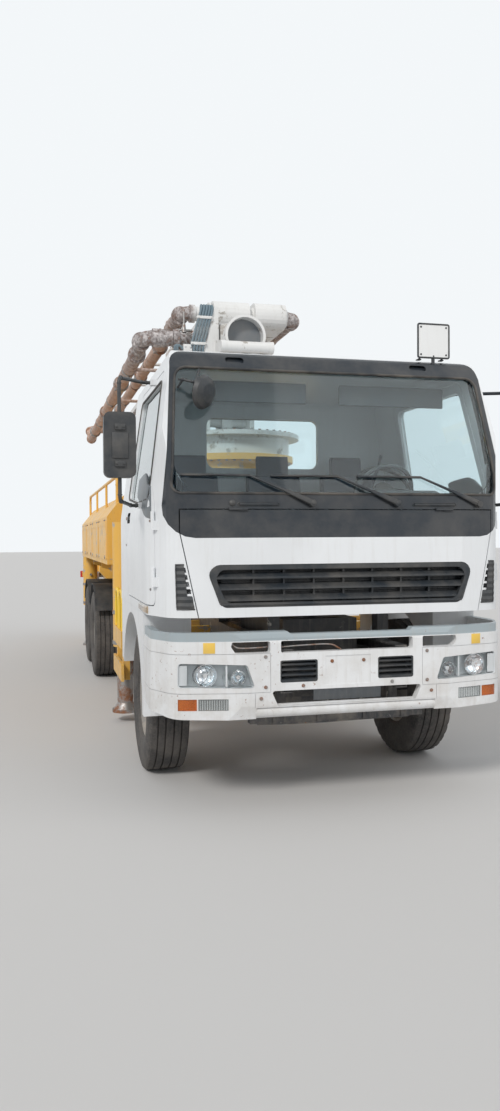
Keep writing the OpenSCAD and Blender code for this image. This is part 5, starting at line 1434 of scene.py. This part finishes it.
def hopper_details():
    """The agitator's motor and bearings, and the bolts along the rim."""
    form = Form()
    for sign in (-1, 1):
        place = at(sign * 0.885, 10.020, 1.120)
        flange = [(0.0, 0.135), (0.020, 0.135), (0.026, 0.095), (0.060, 0.095)]
        form.knob(flange, place, (sign, 0, 0), 40)
        for t in turns(8):
            bolt(form, place + Vector((sign * 0.020, 0.115 * math.cos(t), 0.115 * math.sin(t))),
                 (sign, 0, 0), 0.010, 0.009)
    motor = at(0.945, 10.020, 1.120)
    form.knob([(0.0, 0.080), (0.11, 0.080), (0.12, 0.070), (0.150, 0.070)], motor, (1, 0, 0), 32, tip=0.156)
    form.piece("agitator_drive", STEEL)
    rim_bolts = Form()
    for sign in (-1, 1):
        for k in range(9):
            bolt(rim_bolts, at(sign * 0.922, 9.56 + 0.135 * k, 1.460), (sign, 0, 0), 0.011, 0.009)
    rim_bolts.piece("hopper_bolts", STEEL)


def leg_details():
    """Two clamp collars and a hose stub on each outrigger's jacket."""
    for end, middle in (("front", SLEW_Y), ("rear", 8.760)):
        for side, sign in SIDES:
            arm = f"arm_{end}_{side}"
            y = next(y
                     for y in (middle - 0.150, middle + 0.150) if hit(arm, at(sign * 2.0, y, 1.30),
                                                                      (-sign, 0, 0)))
            form = Form()
            for z in (0.760, 1.050):
                form.band(at(sign * 1.110, y, z), (0, 0, 1), -0.018, 0.018, 0.109, 0.117)
            form.knob([(0.0, 0.020), (0.030, 0.020)], at(sign * 1.110, y - 0.108, 1.20), (0, -1, 0), 16)
            form.piece(f"jacket_collars_{end}_{side}", STEEL, arm)


windscreen_seal()
wipers()
cowl_details()
corner_vents()
grille_mesh()
bumper_details()
headlamps()
roof_sign()
mirror_details()
cab_sides()
door_mouldings()
cab_inside()
pin_caps()
ring_bolts()
boom_pipes()
crust()
foot_hoses()
glands()
deck_doors()
running_gear()
hopper_details()
leg_details()


# Stage


def stage():
    floor_mesh = bpy.data.meshes.new("floor")
    size = 120
    floor_mesh.from_pydata(
        [(-size, -size, 0), (size, -size, 0), (size, size, 0), (-size, size, 0)], [], [(0, 1, 2, 3)]
    )
    floor = bpy.data.objects.new("floor", floor_mesh)
    bpy.context.scene.collection.objects.link(floor)
    s = Shader("floor_paint")
    s.set(Base_Color=(0.62, 0.61, 0.60), Roughness=0.9)
    floor_mesh.materials.append(s.material)

    world = bpy.data.worlds.new("studio")
    bpy.context.scene.world = world
    world.use_nodes = True
    tree = world.node_tree
    tree.nodes.clear()
    path = tree.nodes.new("ShaderNodeLightPath")
    seen = tree.nodes.new("ShaderNodeMath")
    seen.operation = "MAXIMUM"
    tree.links.new(path.outputs["Is Camera Ray"], seen.inputs[0])
    tree.links.new(path.outputs["Is Glossy Ray"], seen.inputs[1])
    also = tree.nodes.new("ShaderNodeMath")
    also.operation = "MAXIMUM"
    tree.links.new(seen.outputs[0], also.inputs[0])
    tree.links.new(path.outputs["Is Transmission Ray"], also.inputs[1])
    light = tree.nodes.new("ShaderNodeBackground")
    light.inputs[0].default_value = (0.92, 0.96, 1.0, 1)
    light.inputs[1].default_value = 0.55
    view = tree.nodes.new("ShaderNodeBackground")
    view.inputs[0].default_value = (0.90, 0.93, 0.95, 1)
    view.inputs[1].default_value = 1.0
    mixed = tree.nodes.new("ShaderNodeMixShader")
    output = tree.nodes.new("ShaderNodeOutputWorld")
    tree.links.new(also.outputs[0], mixed.inputs[0])
    tree.links.new(light.outputs[0], mixed.inputs[1])
    tree.links.new(view.outputs[0], mixed.inputs[2])
    tree.links.new(mixed.outputs[0], output.inputs[0])

    for name, strength, angle, turn in (("sun", 1.7, 12, (52, 0, -38)), ("fill", 0.5, 60, (60, 0, 55))):
        lamp = bpy.data.lights.new(name, "SUN")
        lamp.energy = strength
        lamp.angle = math.radians(angle)
        lamp.color = (1.0, 0.97, 0.93)
        made = bpy.data.objects.new(name, lamp)
        made.rotation_euler = [math.radians(a) for a in turn]
        bpy.context.scene.collection.objects.link(made)
    bpy.context.scene.view_settings.view_transform = "Standard"


def camera():
    """The photograph's view, from a fit to the truck's known sizes."""
    yaw, pitch, roll = math.radians(-13.846), math.radians(-1.104), math.radians(-0.35)
    focal_px, height_px = 863.6, 1111.0
    forward = Vector((-math.sin(yaw) * math.cos(pitch), math.cos(yaw) * math.cos(pitch), math.sin(pitch)))
    right = Vector((math.cos(yaw), math.sin(yaw), 0))
    up = right.cross(forward)
    turned_right = right * math.cos(roll) + up * math.sin(roll)
    turned_up = -right * math.sin(roll) + up * math.cos(roll)
    made = bpy.data.cameras.new("camera")
    made.sensor_fit = "VERTICAL"
    made.sensor_height = 36
    made.lens = 36 * focal_px / height_px
    made.clip_end = 300
    eye = bpy.data.objects.new("camera", made)
    turn = Matrix((turned_right, turned_up, -forward)).transposed().to_4x4()
    eye.matrix_world = Matrix.Translation(at(-1.920, -5.187, 1.741)) @ turn
    bpy.context.scene.collection.objects.link(eye)
    bpy.context.scene.camera = eye


stage()
camera()
